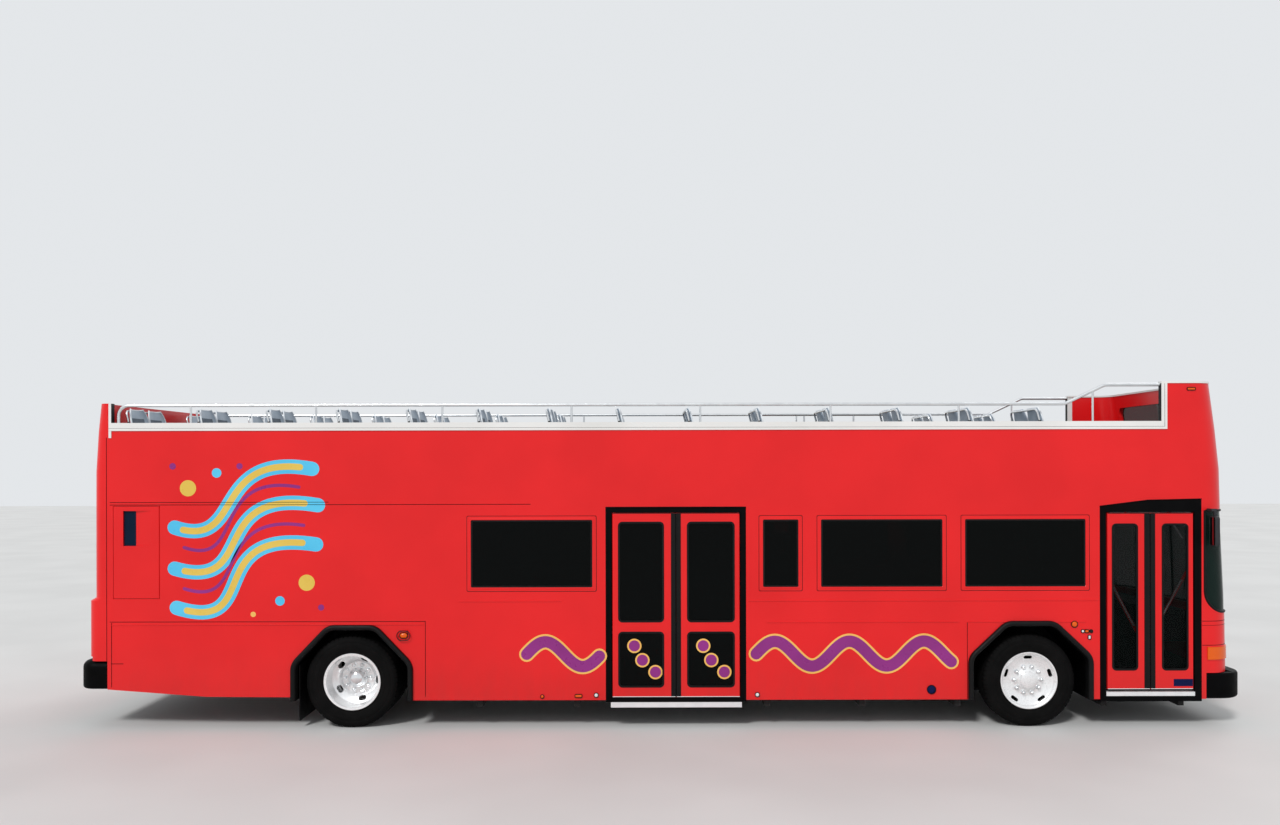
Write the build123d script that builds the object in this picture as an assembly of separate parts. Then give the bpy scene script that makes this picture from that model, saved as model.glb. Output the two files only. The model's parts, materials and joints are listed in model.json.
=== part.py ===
from build123d import *
import os

# Open top double decker bus, in millimetres.
# +X is forward, +Y is the driver's (street) side, -Y is the door (curb) side, +Z is up.
# The origin is on the ground, in the middle of the length and of the width.

# Overall sizes
front_overhang = 2270
wheelbase = 7110
rear_overhang = 2860
body_half_width = 1295
ground_clearance = 296
wall_thickness = 60
front_corner_radius = 240
rear_corner_radius = 120
glass_thickness = 8
running_gap = 0.3
moving_gap = 5

overall_length = front_overhang + wheelbase + rear_overhang
front_tip_x = overall_length / 2
rear_tip_x = -front_tip_x
front_axle_x = front_tip_x - front_overhang
rear_axle_x = front_axle_x - wheelbase
inner_y = body_half_width - wall_thickness
tool_reach = 200
beyond_y = body_half_width + tool_reach
beyond_x = front_tip_x + tool_reach

# Heights
floor_top_z = 345
floor_thickness = 50
raised_floor_z = 900
deck_top_z = 2360
deck_thickness = 60
panel_split_z = 2390
side_top_z = 3120
coping_height = 84
front_trim_height = 20
front_wall_top_z = 3600
rear_wall_top_z = 3408
floor_bottom_z = floor_top_z - floor_thickness
deck_bottom_z = deck_top_z - deck_thickness
coping_top_z = side_top_z + coping_height

# Where the side walls end and the front and rear mouldings begin
front_post_setback = 839
front_strip_setback = 480
rear_seam_setback = 314
rear_strip_offset = 20
front_post_x = front_tip_x - front_post_setback
front_strip_x = front_tip_x - front_strip_setback
rear_seam_x = rear_tip_x + rear_seam_setback
rear_strip_x = rear_seam_x + rear_strip_offset

# How far the front and the rear face stand back from the bumpers: height, front, rear
ledge_z = 1375
ledge_height = 35
face_setbacks = [
    (ground_clearance, 135, 98),
    (ledge_z - ledge_height, 150, 98),
    (ledge_z, 151, 155),
    (2270, 192, 155),
    (2700, 203, 157),
    (side_top_z, 247, 183),
    (front_wall_top_z + front_trim_height, 315, 235),
]
face_profile = [(z, front_tip_x - front, rear_tip_x + rear) for z, front, rear in face_setbacks]

# Wheels
tyre_radius = 482
tyre_width = 275
tyre_side_inset = 30
bead_radius = 286
flange_radius = 299
twin_gap = 40
hub_radius = 105
spindle_radius = 40
axle_z = tyre_radius
outer_tyre_y = body_half_width - tyre_side_inset - tyre_width / 2
inner_tyre_y = outer_tyre_y - tyre_width - twin_gap
twin_middle_y = (outer_tyre_y + inner_tyre_y) / 2
kingpin_inset = 169.5
kingpin_y = outer_tyre_y - kingpin_inset

# Wheel arches: centre x, half width, top height, half width of the flat top, shoulder height,
# and where the wheelhouse ends inboard
rear_arch_offset = 10
front_wheelhouse_depth = 655
rear_wheelhouse_depth = 695
front_arch = dict(x=front_axle_x, half=604, top=1067, flat=240, shoulder=726,
                  inner=body_half_width - front_wheelhouse_depth)
rear_arch = dict(x=rear_axle_x + rear_arch_offset, half=590, top=1038, flat=236, shoulder=667,
                 inner=body_half_width - rear_wheelhouse_depth)
arch_corner_radius = 140
arch_shoulder_growth = 0.4
arch_trim_width = 50
arch_trim_proud = 40
arch_lip = 7
wheelhouse_thickness = 8

# Side windows: first and last x from the front axle. Every one spans the same height.
window_bottom_z = 1478
window_top_z = 2179
right_window_spans = [(-5850, -4584), (-2795, -2429), (-2188, -923), (-682, 573)]
left_window_spans = [(-5850, -4584), (-4390, -3124), (-2188, -923), (-682, 573), (840, 1690)]
right_windows = [(front_axle_x + first, front_axle_x + last) for first, last in right_window_spans]
left_windows = [(front_axle_x + first, front_axle_x + last) for first, last in left_window_spans]
window_corner_radius = 12
glass_recess = 6

# Middle door: frame, opening and leaves, from where the leaves meet
mid_meeting_offset = 3708
mid_meeting_x = front_axle_x - mid_meeting_offset
mid_frame_reach = (736, 734)
mid_opening_reach = (672, 675)
mid_pane_near = (130, 121)
mid_pane_far = (600, 609)
mid_frame = (mid_meeting_x - mid_frame_reach[0], mid_meeting_x + mid_frame_reach[1])
mid_opening = (mid_meeting_x - mid_opening_reach[0], mid_meeting_x + mid_opening_reach[1])
mid_frame_top_z = 2310
mid_frame_foot_z = 274
mid_leaf_bottom_z = 327
mid_leaf_top_z = 2252
mid_leaf_thickness = 36
mid_meeting_gap = 8
mid_panes = [(mid_meeting_x - mid_pane_far[0], mid_meeting_x - mid_pane_near[0]),
             (mid_meeting_x + mid_pane_near[1], mid_meeting_x + mid_pane_far[1])]
pane_depth = 14
mid_pane_heights = [(432, 1005), (1114, 2155)]
pane_corner_radius = 40

# Front door: frame, opening, leaves and the posts that swing them
front_frame_width = 1065
front_jamb_widths = (65, 75)
front_leaf_side_gap = (15, 15.5)
front_leaf_gap = 6.5
front_pane_insets = [(52, 129), (123.5, 52.5)]
front_frame = (front_strip_x - front_frame_width, front_strip_x)
front_opening = (front_frame[0] + front_jamb_widths[0], front_frame[1] - front_jamb_widths[1])
front_leaf_ends = (front_opening[0] + front_leaf_side_gap[0], front_opening[1] - front_leaf_side_gap[1])
front_leaf_width = (front_leaf_ends[1] - front_leaf_ends[0] - front_leaf_gap) / 2
front_leaf_spans = [(front_leaf_ends[0], front_leaf_ends[0] + front_leaf_width),
                    (front_leaf_ends[1] - front_leaf_width, front_leaf_ends[1])]
front_leaf_bottom_z = 400
front_leaf_top_z = 2242
front_leaf_thickness = 36
front_header_z = 2252
front_header_top_z = 2386
front_frame_foot_z = 272
front_frame_depth = 50
front_sill_z = 330
front_nosing_z = 372
front_panes = [(span[0] + inset[0], span[1] - inset[1])
               for span, inset in zip(front_leaf_spans, front_pane_insets)]
front_pane_heights = (600, 2127)
pivot_inset = 80
pivot_line_y = -body_half_width + pivot_inset
post_offset = 42.5
post_radius = 20
arm_width = 40
arm_thickness = 25
arm_heights = (360, 2255)
leaf_pin_radius = 12

# Rails
rail_radius = 17
rail_post_radius = 11
rail_z = 3388
rail_high_z = 3586
rail_bend = 110
rail_rear_setback = 422
rail_rise_setback = (1057, 638)
rail_rear_x = rear_tip_x + rail_rear_setback
rail_rise = (front_post_x - rail_rise_setback[0], front_post_x - rail_rise_setback[1])
rail_y = body_half_width - wall_thickness / 2

# Rail posts: even spacing between the first and the last, and how far each stands off it
rail_post_ends = (759, 764)
rail_post_shifts = [0, -38, -66, -62, -64, -49, -55, 0]
first_post_x = rail_rear_x + rail_post_ends[0]
last_post_x = front_post_x - rail_post_ends[1]
post_pitch = (last_post_x - first_post_x) / (len(rail_post_shifts) - 1)
rail_posts = [first_post_x + index * post_pitch + shift for index, shift in enumerate(rail_post_shifts)]

# Stair, on the driver's side behind the front wheelhouse
stair_foot_offset = 850
stair_foot_x = front_axle_x - stair_foot_offset
stair_width = 635
tread_depth = 230
step_count = 9
stair_plate = 30
stairwell_front_gap = 70
stairwell_margin = 20
stairwell_front_x = stair_foot_x - stairwell_front_gap
step_rise = (deck_top_z - floor_top_z) / step_count
stair_head_x = stair_foot_x - (step_count - 1) * tread_depth
stairwell_inner_y = inner_y - stair_width - stairwell_margin

# Frame rails
rail_frame_inset = 220
rail_frame_y = rear_arch["inner"] - rail_frame_inset
frame_width = 80
frame_height = 80
frame_top_z = floor_bottom_z
frame_bottom_z = frame_top_z - frame_height
tail_frame_z = raised_floor_z - floor_thickness
kick_offset = 940
bulkhead_offset = 1380
kick_x = rear_axle_x + kick_offset
bulkhead_x = rear_axle_x - bulkhead_offset
engine_shelf_z = 1450

# Seats: a double seat's width, depth and heights above its floor
seat_width = 880
seat_depth = 450
seat_height = 430
seat_back_height = 1010
seat_cushion = 90
seat_back_thickness = 60
seat_leg_width = 120
seat_leg_depth = 300
seat_lean = (60, 120)
seat_wall_gap = 25
seat_y = inner_y - seat_wall_gap - seat_width / 2
upper_row_pitch = 740
upper_row_ends = (820, 1700)

# Tow eyes: hole radius, plate thickness and half height
eye_hole_radius = 20
eye_thickness = 28
eye_half = 55
eye_reach = (205, 215)

os.makedirs("parts", exist_ok=True)


# Helpers

def block(x0, x1, y0, y1, z0, z1):
    return Pos((x0 + x1) / 2, (y0 + y1) / 2, (z0 + z1) / 2) * Box(x1 - x0, y1 - y0, z1 - z0)


def side_block(side, x0, x1, y0, y1, z0, z1):
    low, high = sorted((side * y0, side * y1))
    return block(x0, x1, low, high, z0, z1)


def rod(start, end, radius):
    run = Vector(*end) - Vector(*start)
    return extrude(Plane(origin=start, z_dir=run) * Circle(radius), amount=run.length)


def bent_tube(points, bend, radius):
    path = FilletPolyline(*points, radius=bend)
    return sweep(Plane(origin=path @ 0, z_dir=path % 0) * Circle(radius), path=path)


def extrude_across(face, y0, y1):
    plane = Plane(origin=(0, y1, 0), x_dir=(1, 0, 0), z_dir=(0, -1, 0))
    return extrude(plane * face, amount=y1 - y0)


def rounded_window(x0, x1, z0, z1, radius):
    return Pos((x0 + x1) / 2, (z0 + z1) / 2) * RectangleRounded(x1 - x0, z1 - z0, radius)


def other_side(shape):
    return mirror(shape, about=Plane.XZ)


def rows_between(first_x, last_x, pitch):
    return [first_x + row * pitch for row in range(int((last_x - first_x) / pitch) + 1)]


def save(name, *shapes):
    solids = []
    for shape in shapes:
        solids += [shape] if isinstance(shape, Solid) else shape.solids()
    export_step(Compound(children=solids), f"parts/{name}.step")


def both_sides(shape):
    return [shape, other_side(shape)]


def plan_outline(front_x, rear_x, inset, z):
    outline = Pos((front_x + rear_x) / 2, 0) * Rectangle(
        front_x - rear_x - 2 * inset, 2 * (body_half_width - inset))
    ends = outline.vertices().group_by(Axis.X)
    outline = fillet(ends[-1], front_corner_radius - inset)
    outline = fillet(outline.vertices().group_by(Axis.X)[0], rear_corner_radius - inset)
    return Pos(0, 0, z) * outline


def envelope(inset):
    return loft([plan_outline(front, rear, inset, z) for z, front, rear in face_profile], ruled=True)


def arch_face(arch, grow, foot_z):
    x = arch["x"]
    half = arch["half"] + grow
    flat = arch["flat"] + grow * arch_shoulder_growth
    top = arch["top"] + grow
    shoulder = arch["shoulder"] + grow * arch_shoulder_growth
    points = [(x - half, foot_z), (x - half, shoulder), (x - flat, top),
              (x + flat, top), (x + half, shoulder), (x + half, foot_z)]
    face = make_face(Polyline(*points, close=True))
    corners = face.vertices().sort_by(Axis.Y)[2:]
    return fillet(corners, arch_corner_radius + grow)


# Body shell

outer_skin = envelope(0)
inner_skin = envelope(wall_thickness)
shell = outer_skin - inner_skin


def lower_wall(side, x0, x1, windows, arches):
    wall = side_block(side, x0, x1, inner_y, body_half_width, ground_clearance, panel_split_z)
    for first, last in windows:
        if x0 < first < x1:
            hole = rounded_window(first, last, window_bottom_z, window_top_z, window_corner_radius)
            wall -= extrude_across(hole, -beyond_y, beyond_y)
    for arch in arches:
        if x0 < arch["x"] < x1:
            wall -= extrude_across(arch_face(arch, 0, 0), -beyond_y, beyond_y)
    return wall


# Access door in the rear of the door side
access_reach = (375, 865)
access_opening = (rear_tip_x + access_reach[0], rear_tip_x + access_reach[1])
access_heights = (1363, 2336)
access_thickness = 30
scoop_insets = (105, 252, 400)
scoop_depth = 22
scoop_heights = (1917, 2284)
scoop_x = [access_opening[0] + inset for inset in scoop_insets]

split_x = mid_frame[1]
header_low_z = 2312
header_break = (500, 2374)
header_points = [(front_frame[0], 0), (front_frame[0], header_low_z),
                 (front_frame[0] + header_break[0], header_break[1]),
                 (front_frame[1], front_header_top_z), (front_frame[1], 0)]
front_door_hole = extrude_across(make_face(Polyline(*header_points, close=True)), -beyond_y, 0)
mid_door_hole = block(*mid_frame, -beyond_y, 0, 0, mid_frame_top_z)

right_rear = lower_wall(-1, rear_seam_x, split_x, right_windows, [rear_arch]) - mid_door_hole
access_hole = block(*access_opening, -beyond_y, 0, *access_heights)
right_rear -= access_hole
hinge_pin_radius = 8
access_inset = access_thickness / 2
access_hinge_x = access_opening[1] - moving_gap - access_inset
access_hinge_y = -body_half_width + access_inset
access_pin_reach = 20
right_rear -= rod((access_hinge_x, access_hinge_y, access_heights[0] - access_pin_reach - 2),
                  (access_hinge_x, access_hinge_y, access_heights[1] + access_pin_reach + 2),
                  hinge_pin_radius + running_gap)
right_front = lower_wall(-1, split_x, front_strip_x, right_windows, [front_arch]) - front_door_hole
left_rear = lower_wall(1, rear_seam_x, split_x, left_windows, [rear_arch])
left_front = lower_wall(1, split_x, front_strip_x, left_windows, [front_arch])
# The skirt behind the rear wheels rises towards the rear: x from the rear axle, z
skirt_break = (-1510, 338)
skirt_foot_z = 331
skirt_rear_z = 416
skirt_start_x = rear_arch["x"] - rear_arch["half"]
skirt_below = extrude_across(make_face(Polyline(
    (skirt_start_x, 0), (skirt_start_x, skirt_foot_z), (rear_axle_x + skirt_break[0], skirt_break[1]),
    (rear_seam_x, skirt_rear_z), (rear_tip_x, skirt_rear_z), (rear_tip_x, 0), close=True)),
    -beyond_y, beyond_y)
right_rear -= skirt_below
left_rear -= skirt_below
save("side_right_rear", right_rear)
save("side_right_front", right_front)
save("side_left_rear", left_rear)
save("side_left_front", left_front)

for side, name in ((-1, "upper_side_right"), (1, "upper_side_left")):
    save(name, side_block(side, rear_seam_x, front_post_x, inner_y, body_half_width,
                          panel_split_z, side_top_z))

# Front moulding under the windscreen, with a strip up each side to the upper deck
windscreen_bottom_z = 1196
windscreen_top_z = 2270
windscreen_setback = 450
windscreen_rear_x = front_tip_x - windscreen_setback
windscreen_corner = 230
bumper_top_z = 568
bumper_bottom_z = 296
bumper_wrap = 432
bumper_rear_x = front_tip_x - bumper_wrap
pillar_width = 60
pillar_overlap = 5
screen_hole_face = make_face(Polyline(
    (windscreen_rear_x, windscreen_bottom_z), (beyond_x, windscreen_bottom_z),
    (beyond_x, windscreen_top_z), (windscreen_rear_x, windscreen_top_z), close=True))
screen_corner = screen_hole_face.vertices().sort_by(Axis.X)[:2].sort_by(Axis.Y)[0]
screen_hole_face = fillet(screen_corner, windscreen_corner)
screen_hole = extrude_across(screen_hole_face, -beyond_y, beyond_y)

headlamp_radius = 85
headlamp_depth = 34
headlamp_proud = 6
headlamp_z = 760
headlamp_insets = (295, 515)
headlamp_places = [side * (body_half_width - inset) for side in (-1, 1) for inset in headlamp_insets]
front_foot, front_waist = face_profile[0], face_profile[1]
front_face_x = front_foot[1] + (front_waist[1] - front_foot[1]) * (
    headlamp_z - front_foot[0]) / (front_waist[0] - front_foot[0])
pillar_foot_z = 1000

front_panel = shell & block(front_strip_x, front_tip_x, -beyond_y, beyond_y,
                            ground_clearance, windscreen_top_z)
front_panel -= screen_hole
front_panel -= block(bumper_rear_x, front_tip_x, -beyond_y, beyond_y, 0, bumper_top_z)
for side in (-1, 1):
    front_panel += side_block(side, windscreen_rear_x, windscreen_rear_x + pillar_width,
                              inner_y - pillar_width, inner_y + pillar_overlap, pillar_foot_z,
                              windscreen_top_z)
headlamps = []
for y in headlamp_places:
    seat_x = front_face_x - headlamp_depth
    front_panel -= rod((seat_x, y, headlamp_z), (front_tip_x, y, headlamp_z), headlamp_radius + running_gap)
    headlamps.append(rod((seat_x + running_gap, y, headlamp_z),
                         (front_face_x + headlamp_proud, y, headlamp_z), headlamp_radius))
save("front_panel", front_panel)
save("headlamps", *headlamps)

# Amber lamps round the front corners
corner_lamp_heights = (708, 838)
corner_lamp_setback = 420
corner_lamp_inset = 205
corner_lamp_proud = 12
lamp_skin = envelope(-corner_lamp_proud) - outer_skin
corner_lamps = []
for side in (-1, 1):
    corner_lamps.append(lamp_skin & side_block(side, front_tip_x - corner_lamp_setback, front_tip_x,
                                               body_half_width - corner_lamp_inset, beyond_y,
                                               *corner_lamp_heights))
save("corner_lamps", *corner_lamps)

# Upper front, standing over the windscreen and the front wall of the upper deck
upper_screen_sill_z = 2750
upper_screen_head = 150
upper_screen_inset = 295
upper_screen_radius = 80
upper_screen = (upper_screen_sill_z, front_wall_top_z - upper_screen_head)
upper_screen_half = body_half_width - upper_screen_inset
upper_front = shell & block(front_post_x, front_tip_x, -beyond_y, beyond_y,
                            windscreen_top_z, front_wall_top_z)
upper_front -= block(0, front_strip_x, -beyond_y, beyond_y, 0, panel_split_z)
across_plane = Plane(origin=(0, 0, 0), x_dir=(0, 1, 0), z_dir=(1, 0, 0))
upper_screen_face = Pos(0, sum(upper_screen) / 2) * RectangleRounded(
    2 * upper_screen_half, upper_screen[1] - upper_screen[0], upper_screen_radius)
upper_screen_cut = extrude(across_plane * upper_screen_face, amount=front_tip_x)
upper_front -= upper_screen_cut
save("upper_front", upper_front)

glass_skin = envelope(glass_recess) - envelope(glass_recess + glass_thickness)
windscreen = glass_skin & screen_hole
upper_pane = glass_skin & upper_screen_cut
save("front_glass", windscreen, upper_pane)

# Rear panel, its engine opening and the rear wall of the upper deck
rear_bumper_heights = (418, 712)
engine_door_inset = 395
engine_door_half = body_half_width - engine_door_inset
engine_door_heights = (770, 1290)
engine_door_thickness = 38
engine_door_margin = 30
rear_face_x = face_profile[0][2]
rear_wall_x = face_profile[2][2]
rear_panel = shell & block(rear_tip_x, rear_seam_x, -beyond_y, beyond_y,
                           rear_bumper_heights[1], panel_split_z)
rear_panel -= block(rear_tip_x, rear_seam_x, -engine_door_half + engine_door_margin,
                    engine_door_half - engine_door_margin,
                    engine_door_heights[0] + engine_door_margin,
                    engine_door_heights[1] - engine_door_margin)
rear_groove_top_z = 757
rear_groove_depth = 50
rear_panel -= block(rear_tip_x, rear_face_x + rear_groove_depth, -beyond_y, beyond_y,
                    rear_bumper_heights[1], rear_groove_top_z)
hinge_proud = 23
hinge_rise = 20
hatch_pin_radius = 7
hinge_barrel_radius = 14
hinge_barrel_half = 40
hinge_inset = 300
hinge_lug_width = 20
hinge_lug_half = 10
hinge_x = rear_face_x - hinge_proud
hinge_z = engine_door_heights[1] + hinge_rise
hinge_places = (-engine_door_half + hinge_inset, engine_door_half - hinge_inset)
for y in hinge_places:
    for sign in (-1, 1):
        lug_y = y + sign * (hinge_barrel_half + hinge_lug_width / 2 + 1)
        rear_panel += block(hinge_x - hinge_lug_half, rear_face_x + hinge_lug_width,
                            lug_y - hinge_lug_width / 2, lug_y + hinge_lug_width / 2,
                            hinge_z - hinge_lug_half, hinge_z + hinge_lug_half)
    pin_half = hinge_barrel_half + hinge_lug_width / 2
    rear_panel += rod((hinge_x, y - pin_half, hinge_z), (hinge_x, y + pin_half, hinge_z), hatch_pin_radius)
save("rear_panel", rear_panel)

engine_door_inner_x = rear_face_x - moving_gap
engine_door = block(engine_door_inner_x - engine_door_thickness, engine_door_inner_x,
                    -engine_door_half, engine_door_half, *engine_door_heights)
engine_door_edge_radius = 12
engine_door = fillet(engine_door.faces().sort_by(Axis.X)[0].edges(), engine_door_edge_radius)
grille_slots = 7
grille_inset = 260
grille_foot = 130
grille_pitch = 50
grille_slot_height = 26
grille_half = engine_door_half - grille_inset
for row in range(grille_slots):
    slot_z = engine_door_heights[0] + grille_foot + grille_pitch * row
    engine_door -= block(rear_tip_x, rear_face_x, -grille_half, grille_half,
                         slot_z, slot_z + grille_slot_height)
for y in hinge_places:
    engine_door += block(hinge_x - hinge_barrel_radius, hinge_x, y - hinge_barrel_half, y + hinge_barrel_half,
                         engine_door_heights[1] - hinge_rise, hinge_z)
    engine_door += rod((hinge_x, y - hinge_barrel_half, hinge_z), (hinge_x, y + hinge_barrel_half, hinge_z),
                       hinge_barrel_radius)
    engine_door -= rod((hinge_x, y - 2 * hinge_barrel_half, hinge_z),
                       (hinge_x, y + 2 * hinge_barrel_half, hinge_z), hatch_pin_radius + running_gap)
save("engine_door", engine_door)

upper_rear = shell & block(rear_tip_x, rear_strip_x, -beyond_y, beyond_y, panel_split_z, rear_wall_top_z)
upper_rear -= block(rear_seam_x, rear_strip_x, -beyond_y, beyond_y, panel_split_z, side_top_z)
save("upper_rear", upper_rear)

tail_lamp_heights = [(1480, 1680), (1720, 1920)]
tail_lamp_insets = (285, 145)
tail_lamp_proud = 18
tail_lamp_sunk = 40
tail_lamp_y = [body_half_width - inset for inset in tail_lamp_insets]
tail_lamps = []
for side in (-1, 1):
    for low, high in tail_lamp_heights:
        lamp = side_block(side, rear_wall_x - tail_lamp_proud, rear_wall_x + tail_lamp_sunk,
                          *tail_lamp_y, low, high)
        tail_lamps.append(lamp - outer_skin)
save("tail_lamps", *tail_lamps)

# Bumpers, wrapped round the ends of the body
bumper_depth = 130
bumper_edge_radii = (30, 75)
front_bumper_corner = 260
rear_bumper_corner = 160


def bumper(end_x, seam_x, corner, z0, z1, edge_radius):
    forward = 1 if end_x > 0 else -1
    outline = Pos(end_x / 2, 0) * Rectangle(abs(end_x), 2 * body_half_width)
    tips = outline.vertices().sort_by(Axis.X)
    outline = fillet(tips[-2:] if forward > 0 else tips[:2], corner)
    solid = extrude(Pos(0, 0, z0) * outline, amount=z1 - z0)
    for group, radius in ((-1, edge_radius), (0, bumper_edge_radii[0])):
        rim = [edge for edge in solid.edges().group_by(Axis.Z)[group] if abs(edge.center().X) > tool_reach]
        solid = fillet(rim, radius)
    inner_x = end_x - forward * bumper_depth
    solid -= Pos(inner_x / 2, 0, (z0 + z1) / 2) * Box(abs(inner_x), 2 * inner_y, z1 - z0)
    return solid & block(*sorted((seam_x, end_x)), -beyond_y, beyond_y, z0, z1)


front_bumper = bumper(front_tip_x, bumper_rear_x, front_bumper_corner, bumper_bottom_z, bumper_top_z,
                      bumper_edge_radii[0])
rear_bumper = bumper(rear_tip_x, rear_seam_x, rear_bumper_corner, *rear_bumper_heights,
                     bumper_edge_radii[1])
save("front_bumper", front_bumper)
save("rear_bumper", rear_bumper)

# White coping along the upper edge, with the post at the front and the strip at the rear
coping_overhang = 8
coping_outer_y = body_half_width + coping_overhang
front_post_width = 60
rear_strip_width = 27
rear_strip_foot_z = 3047
copings = []
for side in (-1, 1):
    band = side_block(side, rear_strip_x, front_post_x, inner_y - coping_overhang, coping_outer_y,
                      side_top_z, coping_top_z)
    band += side_block(side, front_post_x - front_post_width, front_post_x, inner_y, coping_outer_y,
                       side_top_z, front_wall_top_z)
    band += side_block(side, rear_strip_x, rear_strip_x + rear_strip_width, body_half_width, coping_outer_y,
                       rear_strip_foot_z, coping_top_z)
    band += side_block(side, rear_strip_x, rear_strip_x + rear_strip_width, inner_y - coping_overhang,
                       coping_outer_y, coping_top_z, rear_wall_top_z)
    copings.append(band)
front_trim = (envelope(-coping_overhang) - envelope(wall_thickness + coping_overhang)) & block(
    front_post_x - front_post_width, front_tip_x, -beyond_y, beyond_y, front_wall_top_z,
    front_wall_top_z + front_trim_height)
save("copings", copings[0] + copings[1] + front_trim)

# Upper deck rails
rails = []
for side in (-1, 1):
    y = side * rail_y
    path = [(rail_rear_x, y, coping_top_z), (rail_rear_x, y, rail_z), (rail_rise[0], y, rail_z),
            (rail_rise[1], y, rail_high_z), (front_post_x - front_post_width, y, rail_high_z)]
    rail = bent_tube(path, rail_bend, rail_radius)
    for x in rail_posts:
        top = rail_z if x < rail_rise[0] else rail_z + (x - rail_rise[0]) * (
            rail_high_z - rail_z) / (rail_rise[1] - rail_rise[0])
        rail += rod((x, y, coping_top_z), (x, y, top), rail_post_radius)
    rails.append(rail)

# Guard round the stairwell
guard_height = 1000
guard_margin = 20
guard_post_pitch = 600
guard_cross_post = 300
guard_bend = 100
guard_z = deck_top_z + guard_height
guard_middle_z = deck_top_z + guard_height / 2
guard_y = stairwell_inner_y - guard_margin
guard_x = stairwell_front_x + guard_margin
guard = bent_tube([(stair_head_x, guard_y, deck_top_z), (stair_head_x, guard_y, guard_z),
                   (guard_x, guard_y, guard_z), (guard_x, inner_y, guard_z)], guard_bend, rail_radius)
guard += bent_tube([(stair_head_x, guard_y, guard_middle_z), (guard_x, guard_y, guard_middle_z),
                    (guard_x, inner_y, guard_middle_z)], guard_bend, rail_post_radius)
guard_posts = [(stair_head_x + guard_post_pitch, guard_y), (stair_head_x + 2 * guard_post_pitch, guard_y),
               (guard_x, inner_y - guard_cross_post)]
for x, y in guard_posts:
    guard += rod((x, y, deck_top_z), (x, y, guard_z), rail_post_radius)
save("rails", *rails, guard)

# Floors
deck = inner_skin & block(rear_tip_x, front_tip_x, -beyond_y, beyond_y, deck_bottom_z, deck_top_z)
deck -= block(stair_head_x, stairwell_front_x, stairwell_inner_y, inner_y, 0, side_top_z)
save("upper_deck", deck)

floor_setbacks = (325, 280)
floor_front_x = front_tip_x - floor_setbacks[0]
floor_rear_x = rear_tip_x + floor_setbacks[1]
bulkhead_thickness = 40
kick_plate = 30
axle_slot_half = 100
wheelhouse_solids = []
for arch in (front_arch, rear_arch):
    grown = arch_face(arch, wheelhouse_thickness, floor_bottom_z)
    plain = arch_face(arch, 0, 0)
    box = extrude_across(grown, arch["inner"] - wheelhouse_thickness, inner_y)
    box -= extrude_across(plain, arch["inner"], inner_y + 1)
    if arch is rear_arch:
        box -= block(rear_axle_x - axle_slot_half, rear_axle_x + axle_slot_half, 0, arch["inner"] + 1,
                     0, axle_z + axle_slot_half)
    wheelhouse_solids += both_sides(box)
save("wheel_housings", *wheelhouse_solids)

floor = block(kick_x, floor_front_x, -inner_y, inner_y, floor_bottom_z, floor_top_z)
floor += block(bulkhead_x, kick_x, -inner_y, inner_y, tail_frame_z, raised_floor_z)
floor += block(kick_x - kick_plate, kick_x, -inner_y, inner_y, floor_bottom_z, raised_floor_z)
floor += block(bulkhead_x, bulkhead_x + bulkhead_thickness, -inner_y, inner_y, tail_frame_z, engine_shelf_z)
floor += block(floor_rear_x, bulkhead_x + bulkhead_thickness, -inner_y, inner_y,
               engine_shelf_z - floor_thickness, engine_shelf_z)
for arch in (front_arch, rear_arch):
    void = extrude_across(arch_face(arch, wheelhouse_thickness, 0), arch["inner"] - wheelhouse_thickness,
                          beyond_y)
    for piece in both_sides(void):
        floor -= piece
save("lower_floor", floor)

# Underframe: two rails that kick up to the rear, cross members, tow eyes and jacking pads.
# Cross members: x from the front axle, then from the rear axle.
front_cross_members = [1600, 790, -750, -1750, -2750, -3750, -4750]
rear_cross_members = [1340]
tail_cross_members = [580, -660, -1240]
cross_half = 30
tail_rail_shift = 50
kick_rail_length = 70
cradle_z = (340, 400)
cradle_post = 80
cradle_setback = 270
frame_nose_setback = 260
frame_nose_depth = 60
frame_nose_inset = 395
bumper_hanger_inset = 495
bumper_hanger_half = 40
bumper_hanger_z = (390, 450)
rear_hanger_z = (520, 580)
jack_offsets = (-1250, 1760)
jack_half = 60
jack_thickness = 15
rear_eye_z = 330
cradle_rear_x = rear_tip_x + cradle_setback
frame_nose_x = front_tip_x - frame_nose_setback
nose_rear_x = frame_nose_x - frame_nose_depth
front_eye_x = front_tip_x - eye_reach[0]
rear_eye_x = rear_tip_x + eye_reach[1]
front_eye_z = frame_bottom_z + frame_height / 2
jack_places = [front_axle_x + jack_offsets[0], rear_axle_x + jack_offsets[1]]
rail_end_x = kick_x - kick_plate - kick_rail_length
tail_rail_y = rail_frame_y + tail_rail_shift
tail_rail_z = tail_frame_z - frame_height

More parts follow.
